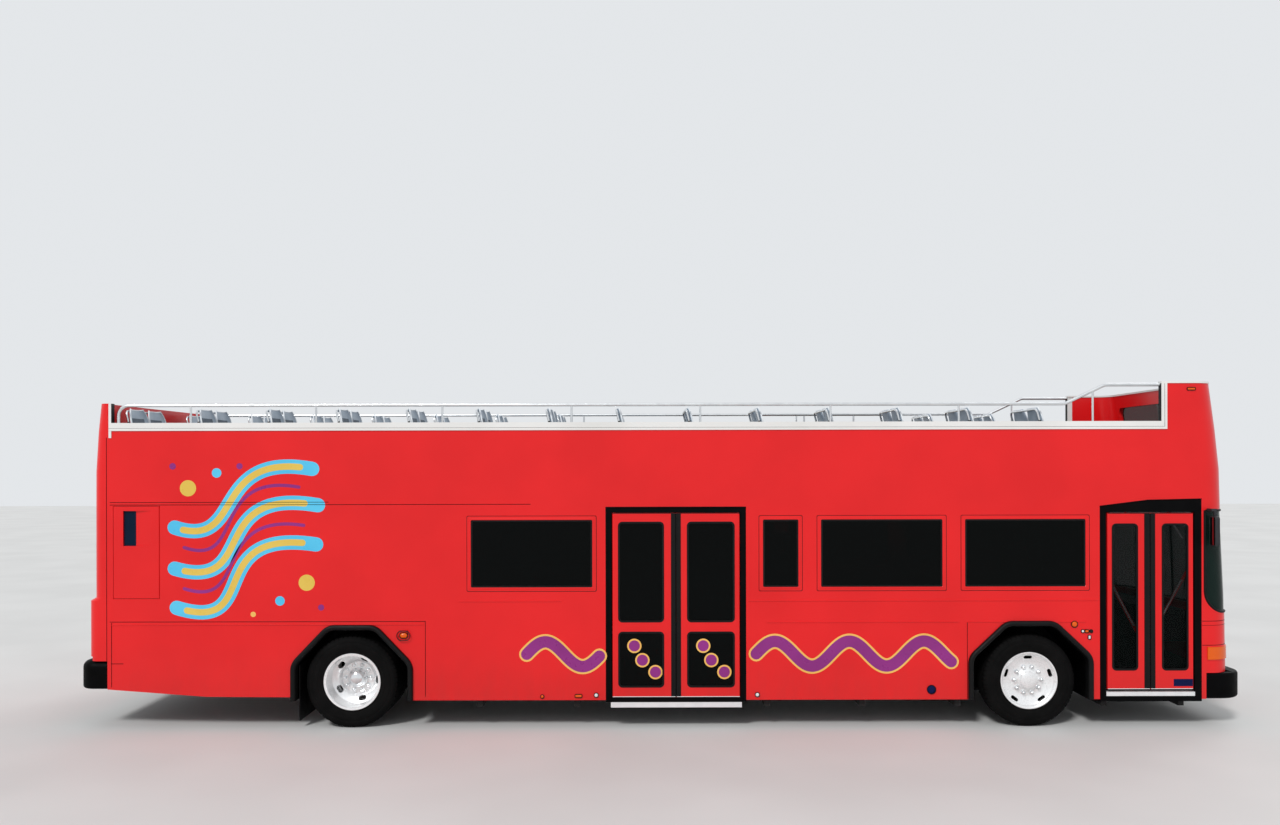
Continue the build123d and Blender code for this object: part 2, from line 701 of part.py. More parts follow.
front_frame_solid = None
tail_frame_solid = None
for side in (-1, 1):
    y0 = rail_frame_y - frame_width / 2
    y1 = rail_frame_y + frame_width / 2
    member = side_block(side, rail_end_x, frame_nose_x, y0, y1, frame_bottom_z, frame_top_z)
    for x in jack_places:
        member += side_block(side, x - jack_half, x + jack_half, rail_frame_y - jack_half,
                             rail_frame_y + jack_half, frame_bottom_z - jack_thickness, frame_bottom_z)
    eye = side_block(side, nose_rear_x, front_eye_x + eye_half, rail_frame_y - eye_thickness / 2,
                     rail_frame_y + eye_thickness / 2, front_eye_z - eye_half, front_eye_z + eye_half)
    member += eye - rod((front_eye_x, -beyond_y, front_eye_z), (front_eye_x, beyond_y, front_eye_z),
                        eye_hole_radius)
    front_frame_solid = member if front_frame_solid is None else front_frame_solid + member

    y0 += tail_rail_shift
    y1 += tail_rail_shift
    tail = side_block(side, floor_rear_x, kick_x - kick_plate, y0, y1, tail_rail_z, tail_frame_z)
    tail += side_block(side, rail_end_x, kick_x - kick_plate, y0, y1, frame_top_z, tail_frame_z)
    tail += side_block(side, cradle_rear_x, bulkhead_x, y0, y1, *cradle_z)
    for x in (cradle_rear_x, bulkhead_x - cradle_post):
        tail += side_block(side, x, x + cradle_post, y0, y1, cradle_z[0], tail_frame_z)
    eye = side_block(side, rear_eye_x - eye_half, cradle_rear_x + cradle_post, tail_rail_y - eye_thickness / 2,
                     tail_rail_y + eye_thickness / 2, rear_eye_z - eye_half, rear_eye_z + eye_half)
    tail += eye - rod((rear_eye_x, -beyond_y, rear_eye_z), (rear_eye_x, beyond_y, rear_eye_z),
                      eye_hole_radius)
    tail_frame_solid = tail if tail_frame_solid is None else tail_frame_solid + tail

for x in ([front_axle_x + offset for offset in front_cross_members]
          + [rear_axle_x + offset for offset in rear_cross_members]):
    front_frame_solid += block(x - cross_half, x + cross_half, -inner_y, inner_y, frame_bottom_z, frame_top_z)
nose_half = body_half_width - frame_nose_inset
front_frame_solid += block(nose_rear_x, frame_nose_x, -nose_half, nose_half, frame_bottom_z, frame_top_z)
for x in [rear_axle_x + offset for offset in tail_cross_members]:
    tail_frame_solid += block(x - cross_half, x + cross_half, -tail_rail_y, tail_rail_y, tail_rail_z,
                              tail_frame_z)
tail_frame_solid += block(cradle_rear_x, cradle_rear_x + frame_nose_depth, -tail_rail_y, tail_rail_y,
                          *cradle_z)
hanger_y = body_half_width - bumper_hanger_inset
for side in (-1, 1):
    hanger = (hanger_y - bumper_hanger_half, hanger_y + bumper_hanger_half)
    front_frame_solid += side_block(side, nose_rear_x, frame_nose_x, *hanger, frame_bottom_z,
                                    bumper_hanger_z[1])
    front_frame_solid += side_block(side, nose_rear_x, front_tip_x - bumper_depth, *hanger, *bumper_hanger_z)
    tail_frame_solid += side_block(side, rear_tip_x + bumper_depth, cradle_rear_x + frame_nose_depth,
                                   *hanger, *rear_hanger_z)
    tail_frame_solid += side_block(side, cradle_rear_x, cradle_rear_x + frame_nose_depth, tail_rail_y,
                                   hanger_y, *rear_hanger_z)
save("underframe", front_frame_solid)
save("tail_frame", tail_frame_solid)

# Driveline: engine and gearbox as plain blocks, with the shaft to the rear axle
engine_setback = 340
engine_bulkhead_gap = 80
engine_side_gap = 50
engine_z = (410, 1340)
gearbox_offset = 840
gearbox_half = 230
gearbox_z = (380, 740)
gearbox_shaft_z = 520
engine_foot_length = 60
engine_foot_ends = (20, 90)
engine_foot_height = 70
shaft_radius = 50
shaft_overlap = 10
diff_half_length = (170, 150)
engine_half = tail_rail_y - frame_width / 2 - engine_side_gap
engine_rear_x = rear_tip_x + engine_setback
engine_front_x = bulkhead_x - engine_bulkhead_gap
gearbox_front_x = rear_axle_x - gearbox_offset
engine = block(engine_rear_x, engine_front_x, -engine_half, engine_half, *engine_z)
engine += block(engine_front_x, gearbox_front_x, -gearbox_half, gearbox_half, *gearbox_z)
engine += rod((gearbox_front_x - shaft_overlap, 0, gearbox_shaft_z),
              (rear_axle_x - diff_half_length[0] - moving_gap, 0, axle_z), shaft_radius)
foot_half = tail_rail_y + shaft_overlap
for x in (engine_rear_x + engine_foot_ends[0], engine_front_x - engine_foot_ends[1]):
    engine += block(x, x + engine_foot_length, -foot_half, foot_half, cradle_z[1],
                    cradle_z[1] + engine_foot_height)
save("driveline", engine)

# Axles
diff_radius = 190
axle_tube_radius = 70
rear_spindle_radius = 60
axle_tube_inset = 705
rear_spindle_inset = 235
spring_arm_half = 420
spring_arm_y = (10, 130)
spring_arm_z = (60, 110)
rear_spindle_y = body_half_width - rear_spindle_inset
axle_tube_y = body_half_width - axle_tube_inset
rear_axle = rod((rear_axle_x - diff_half_length[0], 0, axle_z),
                (rear_axle_x + diff_half_length[1], 0, axle_z), diff_radius)
rear_axle += rod((rear_axle_x, -axle_tube_y, axle_z), (rear_axle_x, axle_tube_y, axle_z), axle_tube_radius)
rear_axle += rod((rear_axle_x, -rear_spindle_y, axle_z), (rear_axle_x, rear_spindle_y, axle_z),
                 rear_spindle_radius)
for side in (-1, 1):
    rear_axle += side_block(side, rear_axle_x - spring_arm_half, rear_axle_x + spring_arm_half,
                            rail_frame_y + spring_arm_y[0], rail_frame_y + spring_arm_y[1],
                            axle_z + spring_arm_z[0], axle_z + spring_arm_z[1])
save("rear_axle", rear_axle)

beam_half = 45
beam_z = (150, 200)
kingpin_radius = 18
eye_radius = 42
eye_half_height = 42
neck_half = 38
neck_share = 0.9
neck_reach = (358, 238, 78, 268, 128)
eye_heights = (axle_z - eye_half_height, axle_z + eye_half_height)
neck_root_y, neck_low_y, neck_eye_y, neck_top_y, neck_upper_y = [kingpin_y - reach for reach in neck_reach]
neck_web = neck_share * eye_half_height
gooseneck = [(neck_root_y, beam_z[0]), (neck_low_y, beam_z[0]), (neck_eye_y, axle_z - neck_web),
             (kingpin_y, axle_z - neck_web), (kingpin_y, axle_z + neck_web), (neck_upper_y, axle_z + neck_web),
             (neck_top_y, beam_z[1]), (neck_root_y, beam_z[1])]
neck_plane = Plane(origin=(front_axle_x - neck_half, 0, 0), x_dir=(0, 1, 0), z_dir=(1, 0, 0))
neck = extrude(neck_plane * make_face(Polyline(*gooseneck, close=True)), amount=2 * neck_half)
neck += rod((front_axle_x, kingpin_y, eye_heights[0]), (front_axle_x, kingpin_y, eye_heights[1]), eye_radius)
neck -= rod((front_axle_x, kingpin_y, 0), (front_axle_x, kingpin_y, 2 * axle_z), kingpin_radius + running_gap)
front_axle = block(front_axle_x - beam_half, front_axle_x + beam_half, -neck_low_y, neck_low_y, *beam_z)
front_axle += neck
front_axle += other_side(neck)
spring_offset = 200
spring_inset = 110
spring_radius = 88
spring_seat = (90, 70)
spring_seat_z = (-5, 10)
spring_y = front_arch["inner"] - spring_inset
for side in (-1, 1):
    front_axle += side_block(side, front_axle_x - spring_offset - spring_seat[0],
                             front_axle_x + spring_offset + spring_seat[0],
                             spring_y - spring_seat[1], spring_y + spring_seat[1],
                             beam_z[1] + spring_seat_z[0], beam_z[1] + spring_seat_z[1])
save("front_axle", front_axle)

springs = []
rear_spring_inset = 150
rear_spring_offset = 320
rear_spring_radius = 100
rear_spring_y = rear_arch["inner"] - rear_spring_inset
for side in (-1, 1):
    for sign in (-1, 1):
        x = front_axle_x + sign * spring_offset
        springs.append(rod((x, side * spring_y, beam_z[1] + spring_seat_z[1]),
                           (x, side * spring_y, floor_bottom_z), spring_radius))
        x = rear_axle_x + sign * rear_spring_offset
        springs.append(rod((x, side * rear_spring_y, axle_z + spring_arm_z[1]),
                           (x, side * rear_spring_y, tail_frame_z - frame_height), rear_spring_radius))
save("air_springs", *springs)

# Front knuckles, which turn on their kingpins
lug_radius = 42
lug_thickness = 30
lug_gap = 6
web_gap = 10
web_thickness = 26
brake_radius = 180
brake_y = (20, 40)
spindle_reach = 70
web_y = kingpin_y + eye_radius + web_gap


def make_knuckle():
    x = front_axle_x
    low = eye_heights[0] - lug_gap
    high = eye_heights[1] + lug_gap
    knuckle = rod((x, kingpin_y, low - lug_thickness), (x, kingpin_y, high + lug_thickness), kingpin_radius)
    for z0, z1 in ((low - lug_thickness, low), (high, high + lug_thickness)):
        knuckle += rod((x, kingpin_y, z0), (x, kingpin_y, z1), lug_radius)
        knuckle += block(x - lug_radius, x + lug_radius, kingpin_y, web_y + web_thickness, z0, z1)
    knuckle += block(x - lug_radius, x + lug_radius, web_y, web_y + web_thickness,
                     low - lug_thickness, high + lug_thickness)
    knuckle += rod((x, web_y + brake_y[0], axle_z), (x, web_y + brake_y[1], axle_z), brake_radius)
    knuckle += rod((x, web_y + brake_y[0], axle_z), (x, outer_tyre_y + spindle_reach, axle_z), spindle_radius)
    return knuckle


knuckle = make_knuckle()
save("knuckle_left", knuckle)
save("knuckle_right", other_side(knuckle))


# Wheels. Profiles hold radius and distance outboard of the tyre's middle.

bead_half = 110
shoulder_radius = 468
shoulder_drop = (18, 45)
sidewall_radii = (360, 420)
rim_half = 122
rim_seat_half = 112
front_dish = [(276, 122), (262, 95), (235, 84), (175, 66), (140, 66), (117, 72), (105, 118), (60, 128),
              (0, 128)]
front_dish_back = [(105, 50), (175, 52), (230, 68), (268, 78), (272, 0)]
front_bearing = (82, -45)
rear_dish = [(274, 122), (270, -72), (215, -92)]
rear_dish_back = [(222, -106), (262, -96)]
disc_radii = (168, 172)
disc_thickness = 14
rear_hub_reach = (240, 60)
rear_cap = [(70, 126), (0, 136)]
spindle_gap = 10


def turned(points):
    return revolve(make_face(Polyline(*points, close=True)), axis=Axis.Y)


def place_wheel(shape, side, x, y):
    shape = shape if side > 0 else other_side(shape)
    return Pos(x, side * y, axle_z) * shape


def make_tyre():
    half = tyre_width / 2
    edge = [(bead_radius + running_gap, bead_half), (flange_radius + 1, bead_half + 0.5),
            (flange_radius + 5, rim_half + 4), (sidewall_radii[0], half), (sidewall_radii[1], half),
            (shoulder_radius, half - shoulder_drop[0]), (tyre_radius, half - shoulder_drop[1])]
    return turned(edge + [(r, -v) for r, v in reversed(edge)])


# Hand holes: count, length, width, radius to their middle, angle of the first
front_hand_holes = (5, 88, 36, 240, 270)
rear_hand_holes = (5, 85, 50, 219, 147.6)


def rim_barrel():
    return [(flange_radius, -rim_half), (flange_radius, -rim_seat_half), (bead_radius, -rim_seat_half),
            (bead_radius, rim_seat_half), (flange_radius, rim_seat_half), (flange_radius, rim_half)]


def cut_hand_holes(rim, holes):
    count, length, width, radius, first_angle = holes
    for step in range(count):
        turn = Rot(0, first_angle + step * 360 / count, 0)
        slot = extrude(Plane.XZ * SlotOverall(length, width, rotation=90), amount=tyre_width, both=True)
        rim -= turn * Pos(radius, 0, 0) * slot
    return rim


def make_front_rim():
    bearing = [(0, front_bearing[0]), (spindle_radius + running_gap, front_bearing[0]),
               (spindle_radius + running_gap, front_bearing[1]), (hub_radius, front_bearing[1])]
    rim = turned([(front_dish_back[-1][0], -rim_half)] + rim_barrel() + front_dish + bearing + front_dish_back)
    return cut_hand_holes(rim, front_hand_holes)


def make_rear_rim():
    reach = twin_middle_y - outer_tyre_y
    disc_inner = hub_radius - moving_gap
    disc = [(disc_radii[0], reach + disc_thickness), (disc_inner, reach + disc_thickness),
            (disc_inner, reach), (disc_radii[1], reach)]
    outer = turned([(front_dish_back[-1][0], -rim_half)] + rim_barrel() + rear_dish + disc + rear_dish_back)
    outer = cut_hand_holes(outer, rear_hand_holes)
    rims = Pos(0, outer_tyre_y, 0) * outer
    rims += Pos(0, inner_tyre_y, 0) * mirror(outer, about=Plane.XZ)
    bore = rear_spindle_radius + running_gap
    spindle_end = rear_spindle_y + spindle_gap
    hub = turned([(bore, twin_middle_y - rear_hub_reach[0]), (hub_radius, twin_middle_y - rear_hub_reach[0]),
                  (hub_radius, twin_middle_y + rear_hub_reach[1])]
                 + [(radius, twin_middle_y + along) for radius, along in rear_cap]
                 + [(0, spindle_end), (bore, spindle_end)])
    return rims + hub


tyre = make_tyre()
front_rim = make_front_rim()
rear_rim = make_rear_rim()
for side, name in ((1, "left"), (-1, "right")):
    save(f"front_tyre_{name}", place_wheel(tyre, side, front_axle_x, outer_tyre_y))
    save(f"front_rim_{name}", place_wheel(front_rim, side, front_axle_x, outer_tyre_y))
    save(f"rear_tyres_{name}", place_wheel(tyre, side, rear_axle_x, outer_tyre_y),
         place_wheel(tyre, side, rear_axle_x, inner_tyre_y))
    save(f"rear_rims_{name}", place_wheel(rear_rim, side, rear_axle_x, 0))

# Rubber round the arches and the flaps behind the rear wheels
flap_offset = 550
flap_thickness = 10
flap_heights = (70, 795)
flap_x = rear_axle_x - flap_offset
rubbers = []
for arch in (front_arch, rear_arch):
    ring = extrude_across(arch_face(arch, arch_trim_width, ground_clearance) - arch_face(arch, 0, 0),
                          body_half_width, body_half_width + arch_trim_proud)
    ring += extrude_across(arch_face(arch, 0, ground_clearance) - arch_face(arch, -arch_lip, 0),
                           inner_y, body_half_width + arch_trim_proud)
    rubbers += both_sides(ring)
for side in (-1, 1):
    flap = side_block(side, flap_x - flap_thickness, flap_x, rear_arch["inner"], inner_y, *flap_heights)
    rubbers.append(flap & extrude_across(arch_face(rear_arch, 0, 0), -beyond_y, beyond_y))
save("arch_rubbers", *rubbers)

# Side glass
panes = []
for side, windows in ((-1, right_windows), (1, left_windows)):
    y0, y1 = sorted((side * (body_half_width - glass_recess - glass_thickness),
                     side * (body_half_width - glass_recess)))
    for first, last in windows:
        face = rounded_window(first, last, window_bottom_z, window_top_z, window_corner_radius)
        panes.append(extrude_across(face, y0, y1))
save("side_glass", *panes)

# Door frames
mid_sill_gap = 7
mid_pin_low = 20
mid_pin_high = 30
pin_end_gap = 3
door_y = -body_half_width
sill_top_z = mid_leaf_bottom_z - mid_sill_gap
mid_ring = block(*mid_frame, door_y, -inner_y, mid_frame_foot_z, mid_frame_top_z)
mid_ring -= block(*mid_opening, -beyond_y, 0, sill_top_z, mid_leaf_top_z + moving_gap)
front_ring = extrude_across(make_face(Polyline(
    (front_frame[0], front_frame_foot_z), *header_points[1:4], (front_frame[1], front_frame_foot_z),
    close=True)), door_y, door_y + front_frame_depth)
front_ring -= block(*front_opening, -beyond_y, 0, front_sill_z, front_header_z)
mid_hinge_inset = mid_leaf_thickness / 2
mid_hinge_y = door_y + mid_hinge_inset
mid_hinge_x = [mid_opening[0] + moving_gap + mid_hinge_inset, mid_opening[1] - moving_gap - mid_hinge_inset]
for x in mid_hinge_x:
    mid_ring -= rod((x, mid_hinge_y, sill_top_z - mid_pin_low), (x, mid_hinge_y, mid_leaf_top_z + mid_pin_high),
                    hinge_pin_radius + running_gap)
save("door_frames", mid_ring, front_ring)

# Thresholds
nosing_proud = 8
mid_threshold_depth = 54
mid_threshold_margin = 11
mid_threshold = block(mid_opening[0] - mid_threshold_margin, mid_opening[1] + mid_threshold_margin,
                      door_y - nosing_proud, -inner_y, mid_frame_foot_z - mid_threshold_depth,
                      mid_frame_foot_z)
bracket_radius = 26
nosing_back_y = pivot_line_y - bracket_radius - moving_gap
front_threshold = block(*front_opening, door_y - nosing_proud, nosing_back_y, front_sill_z, front_nosing_z)
front_threshold += block(*front_opening, nosing_back_y, -inner_y, front_sill_z,
                         arm_heights[0] - moving_gap)
front_threshold += block(*front_opening, door_y + front_leaf_thickness, nosing_back_y, front_nosing_z,
                         front_leaf_bottom_z - moving_gap)
save("thresholds", mid_threshold, front_threshold)


# Middle door leaves, which swing outward on pins at their outer edges

def mid_leaf(index):
    x = mid_hinge_x[index]
    sign = 1 if index == 0 else -1
    meet = mid_meeting_x - sign * mid_meeting_gap / 2
    ends = sorted((x, meet))
    leaf = block(*ends, door_y, door_y + mid_leaf_thickness, mid_leaf_bottom_z, mid_leaf_top_z)
    leaf += rod((x, mid_hinge_y, mid_leaf_bottom_z), (x, mid_hinge_y, mid_leaf_top_z), mid_hinge_inset)
    leaf += rod((x, mid_hinge_y, sill_top_z - mid_pin_low + pin_end_gap),
                (x, mid_hinge_y, mid_leaf_top_z + mid_pin_high - pin_end_gap), hinge_pin_radius)
    glass = []
    for z0, z1 in mid_pane_heights:
        face = rounded_window(*mid_panes[index], z0, z1, pane_corner_radius)
        leaf -= extrude_across(face, -beyond_y, 0)
        glass.append(extrude_across(face, door_y + pane_depth, door_y + pane_depth + glass_thickness))
    return leaf, glass


for index, name in enumerate(("aft", "fore")):
    leaf, glass = mid_leaf(index)
    save(f"mid_door_{name}", leaf)
    save(f"mid_door_glass_{name}", *glass)

# Front door leaves, which glide inward on arms from a turning post at each side
# Assist rails: upper and lower end, x from the leaf's outer end, z
assist_ends = [((45, 1539), (355, 953)), ((19.5, 1640), (341.5, 1067))]
assist_radius = 16
assist_inset = 70
assist_overlap = 4
bracket_half = 40
bracket_height = 25
arm_boss_radius = 25
pin_reach = 3
assist_y = door_y + assist_inset
arm_length = (front_leaf_spans[0][1] - front_leaf_spans[0][0]) / 2 + post_offset
leaf_y = (door_y, door_y + front_leaf_thickness)
for index, name in enumerate(("aft", "fore")):
    x0, x1 = front_leaf_spans[index]
    centre = (x0 + x1) / 2
    sign = -1 if index == 0 else 1
    post_x = centre + sign * arm_length
    leaf = block(x0, x1, *leaf_y, front_leaf_bottom_z, front_leaf_top_z)
    face = rounded_window(*front_panes[index], *front_pane_heights, pane_corner_radius)
    leaf -= extrude_across(face, -beyond_y, 0)
    for z0, z1, tip in ((front_leaf_bottom_z, front_leaf_bottom_z + bracket_height, arm_heights[0] - pin_reach),
                        (front_leaf_top_z - bracket_height, front_leaf_top_z,
                         arm_heights[1] + arm_thickness + pin_reach)):
        leaf += block(centre - bracket_half, centre + bracket_half, leaf_y[1], pivot_line_y, z0, z1)
        leaf += rod((centre, pivot_line_y, z0), (centre, pivot_line_y, z1), bracket_radius)
        leaf += rod((centre, pivot_line_y, (z0 + z1) / 2), (centre, pivot_line_y, tip), leaf_pin_radius)
    ends = [(x0 + x if index == 0 else x1 - x, assist_y, z) for x, z in assist_ends[index]]
    leaf += rod(ends[0], ends[1], assist_radius)
    for x, y, z in ends:
        leaf += rod((x, leaf_y[1], z), (x, y + assist_overlap, z), assist_radius)
    save(f"front_door_{name}", leaf)
    save(f"front_door_glass_{name}",
         extrude_across(face, leaf_y[0] + pane_depth, leaf_y[0] + pane_depth + glass_thickness))

    arm = rod((post_x, pivot_line_y, floor_top_z + running_gap),
              (post_x, pivot_line_y, deck_bottom_z - running_gap), post_radius)
    for z in arm_heights:
        low, high = sorted((post_x, centre))
        arm += block(low, high, pivot_line_y - arm_width / 2, pivot_line_y + arm_width / 2,
                     z, z + arm_thickness)
        arm += rod((centre, pivot_line_y, z), (centre, pivot_line_y, z + arm_thickness), arm_boss_radius)
        arm -= rod((centre, pivot_line_y, z - 1), (centre, pivot_line_y, z + arm_thickness + 1),
                   leaf_pin_radius + running_gap)
    save(f"front_door_arm_{name}", arm)

# Access door, hinged at its forward edge
access_z = (access_heights[0] + moving_gap, access_heights[1] - moving_gap)
access = block(access_opening[0] + moving_gap, access_hinge_x, door_y, door_y + access_thickness, *access_z)
access += rod((access_hinge_x, access_hinge_y, access_z[0]), (access_hinge_x, access_hinge_y, access_z[1]),
              access_inset)
access += rod((access_hinge_x, access_hinge_y, access_heights[0] - access_pin_reach),
              (access_hinge_x, access_hinge_y, access_heights[1] + access_pin_reach), hinge_pin_radius)
scoop_points = [(scoop_x[0], door_y), (scoop_x[0], door_y + scoop_depth),
                (scoop_x[1], door_y + scoop_depth), (scoop_x[2], door_y)]
scoop = extrude(Pos(0, 0, scoop_heights[0]) * make_face(Polyline(*scoop_points, close=True)),
                amount=scoop_heights[1] - scoop_heights[0])
access -= scoop
save("access_door", access)

# Mirrors on arms from the front corners
mirror_bar = 26
mirror_setback = 425
mirror_reach = 100
mirror_arm_z = 2262
mirror_head_x = (15, 60)
mirror_head_reach = (30, 150)
mirror_head_z = (1900, 2210)
mirror_head_radius = 30
mirror_arm_x = front_tip_x - mirror_setback
mirror_arm_y = body_half_width + mirror_reach
mirror_stem_x = mirror_arm_x + mirror_head_x[0] + mirror_bar / 2
mirrors = []
for side in (-1, 1):
    arm = side_block(side, mirror_arm_x, mirror_arm_x + mirror_bar, body_half_width + running_gap,
                     mirror_arm_y, mirror_arm_z, mirror_arm_z + mirror_bar)
    arm += side_block(side, mirror_arm_x, mirror_stem_x + mirror_bar, mirror_arm_y - mirror_bar,
                      mirror_arm_y, mirror_arm_z, mirror_arm_z + mirror_bar)
    arm += side_block(side, mirror_stem_x, mirror_stem_x + mirror_bar, mirror_arm_y - mirror_bar,
                      mirror_arm_y, mirror_head_z[1] - mirror_bar, mirror_arm_z + mirror_bar)
    head = side_block(side, mirror_arm_x + mirror_head_x[0], mirror_arm_x + mirror_head_x[1],
                      body_half_width + mirror_head_reach[0], body_half_width + mirror_head_reach[1],
                      *mirror_head_z)
    head = fillet(head.edges().filter_by(Axis.X), mirror_head_radius)
    mirrors.append(arm + head)
save("mirrors", *mirrors)

# Driver's place
driver_inset = 455
dash_setbacks = (640, 280)
dash_foot_setbacks = (560, 500)
dash_inner_y = -560
dash_foot_inner_y = -480
dash_z = (780, 1130)
column_setbacks = (620, 790)
column_z = (823, 1190)
column_radius = 28
steering_radius = 225
steering_grip = 15
spoke = (30, 14)
driver_y = inner_y - driver_inset
dashboard = block(front_tip_x - dash_setbacks[0], front_tip_x - dash_setbacks[1], dash_inner_y, inner_y,
                  *dash_z) & inner_skin
dashboard += block(front_tip_x - dash_foot_setbacks[0], front_tip_x - dash_foot_setbacks[1],
                   dash_foot_inner_y, inner_y, floor_top_z, dash_z[0])
dashboard = dashboard - front_panel
save("dashboard", dashboard)
column_foot = (front_tip_x - column_setbacks[0], driver_y, column_z[0])
column_head = (front_tip_x - column_setbacks[1], driver_y, column_z[1])
column = rod(column_foot, column_head, column_radius)
wheel_plane = Plane(origin=column_head, z_dir=Vector(*column_head) - Vector(*column_foot))
steering_wheel = wheel_plane * Torus(steering_radius, steering_grip)
for angle in (90, 210, 330):
    steering_wheel += wheel_plane * Rot(0, 0, angle) * Pos(steering_radius / 2, 0, 0) * Box(
        steering_radius, *spoke)
save("steering_wheel", (steering_wheel + column) - dashboard)


# Seats

def seat(x, y, floor_z, width):
    rear_x = x - seat_depth / 2
    base = floor_z + seat_height - seat_cushion
    top = floor_z + seat_back_height
    shape = block(rear_x, x + seat_depth / 2, y - width / 2, y + width / 2, base, floor_z + seat_height)
    back_face = make_face(Polyline((rear_x, base), (rear_x + seat_back_thickness, base),
                                   (rear_x - seat_lean[0], top), (rear_x - seat_lean[1], top), close=True))
    shape += extrude_across(back_face, y - width / 2, y + width / 2)
    shape += block(x - seat_leg_depth / 2, x + seat_leg_depth / 2, y - seat_leg_width / 2,
                   y + seat_leg_width / 2, floor_z, base)
    return shape


stairwell_seat_gap = (800, 500)
upper_seats = []
for x in rows_between(rear_tip_x + upper_row_ends[0], front_tip_x - upper_row_ends[1], upper_row_pitch):
    upper_seats.append(seat(x, -seat_y, deck_top_z, seat_width))
    if not stair_head_x - stairwell_seat_gap[0] < x < stairwell_front_x + stairwell_seat_gap[1]:
        upper_seats.append(seat(x, seat_y, deck_top_z, seat_width))
save("upper_seats", *upper_seats)

# Lower seats: rows from the step to the middle door, from the middle door to the front wheelhouse,
# and from the step to the stair, with one more each side over the engine end of the rear axle
lower_row_pitches = (750, 700, 750)
step_row_gap = 350
door_row_gaps = (500, 394)
wheelhouse_row_gap = 550
stair_row_gap = 700
raised_row_offset = 1010
front_wheelhouse_x = front_arch["x"] - front_arch["half"]
lower_rows = [
    (-1, rows_between(kick_x + step_row_gap, mid_frame[0] - door_row_gaps[0], lower_row_pitches[0])),
    (-1, rows_between(mid_frame[1] + door_row_gaps[1], front_wheelhouse_x - wheelhouse_row_gap,
                      lower_row_pitches[1])),
    (1, rows_between(kick_x + step_row_gap, stair_head_x - stair_row_gap, lower_row_pitches[2])),
]
lower_seats = [seat(rear_axle_x - raised_row_offset, side * seat_y, raised_floor_z, seat_width)
               for side in (-1, 1)]
for side, places in lower_rows:
    lower_seats += [seat(x, side * seat_y, floor_top_z, seat_width) for x in places]
driver_seat_setback = 1220
driver_seat_width = 480
driver_step = (250, 300, 280, 80)
driver_seat_x = front_tip_x - driver_seat_setback
driver_place = seat(driver_seat_x, driver_y, floor_top_z + driver_step[3], driver_seat_width)
driver_place += block(driver_seat_x - driver_step[0], driver_seat_x + driver_step[1],
                      driver_y - driver_step[2], driver_y + driver_step[2],
                      floor_top_z, floor_top_z + driver_step[3])
save("lower_seats", *lower_seats, driver_place)

# Grab poles on the lower deck: x, y
pole_radius = 17
pole_inset = 30
door_pole_gap = 95
step_pole_gap = 720
front_pole_offsets = (-1550, 710)
stair_pole_gap = 50
pole_y = seat_y - seat_width / 2 - pole_inset
stair_pole_y = inner_y - stair_width - 4 * pole_inset
poles = [(mid_frame[1] + door_pole_gap, -pole_y), (mid_frame[0] - door_pole_gap, -pole_y),
         (kick_x + step_pole_gap, pole_y), (mid_meeting_x, pole_y),
         (front_axle_x + front_pole_offsets[0], -pole_y), (front_axle_x + front_pole_offsets[1], pole_y),
         (stair_foot_x + stair_pole_gap, stair_pole_y)]
save("grab_poles", *[rod((x, y, floor_top_z), (x, y, deck_bottom_z), pole_radius) for x, y in poles])

# Stair: a folded plate of risers and treads
stair_y = inner_y - stair_width
stair_solids = []
for step in range(step_count - 1):
    x = stair_foot_x - step * tread_depth
    z = floor_top_z + step * step_rise
    foot = z if step == 0 else z - stair_plate
    tread_end = stair_head_x if step == step_count - 2 else x - tread_depth - stair_plate
    stair_solids.append(block(x - stair_plate, x, stair_y, inner_y, foot, z + step_rise))
    stair_solids.append(block(tread_end, x, stair_y, inner_y, z + step_rise - stair_plate, z + step_rise))
last_z = floor_top_z + (step_count - 1) * step_rise
stair_solids.append(block(stair_head_x, stair_head_x + stair_plate, stair_y, inner_y,
                          last_z - stair_plate, deck_top_z))
stair = stair_solids[0]
for piece in stair_solids[1:]:
    stair += piece
save("stair", stair)
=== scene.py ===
import bpy
import bmesh
import json
import math
from mathutils import Matrix, Vector


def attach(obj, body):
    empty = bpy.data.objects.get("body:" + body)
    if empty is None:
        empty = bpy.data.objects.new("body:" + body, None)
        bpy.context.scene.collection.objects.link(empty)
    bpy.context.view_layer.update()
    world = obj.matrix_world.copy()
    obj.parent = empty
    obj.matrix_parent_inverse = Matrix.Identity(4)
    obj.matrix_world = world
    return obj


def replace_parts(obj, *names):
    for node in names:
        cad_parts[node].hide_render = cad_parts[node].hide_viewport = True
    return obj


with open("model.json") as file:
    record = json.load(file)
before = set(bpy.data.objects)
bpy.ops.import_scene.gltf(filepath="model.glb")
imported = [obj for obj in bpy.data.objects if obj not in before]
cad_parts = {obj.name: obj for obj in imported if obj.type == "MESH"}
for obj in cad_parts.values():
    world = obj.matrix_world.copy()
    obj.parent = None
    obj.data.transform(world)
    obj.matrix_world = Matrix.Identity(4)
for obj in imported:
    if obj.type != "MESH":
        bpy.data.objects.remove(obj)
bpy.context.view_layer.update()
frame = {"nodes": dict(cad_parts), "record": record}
nodes = frame["nodes"]
scene = bpy.context.scene

# The doors are on -Y, the driver's side is +Y, and +X is forward
sides = (("right", -1), ("left", 1))
bodyHalf = 1.295  # wall to middle
frontAxleX = 3.85
rearAxleX = -3.26
axleZ = 0.482
weldDistance = 1e-6


# Colours and materials

def toLinear(code):
    parts = [int(code[i:i + 2], 16) / 255 for i in (1, 3, 5)]
    return [c / 12.92 if c <= 0.04045 else ((c + 0.055) / 1.055) ** 2.4 for c in parts] + [1.0]


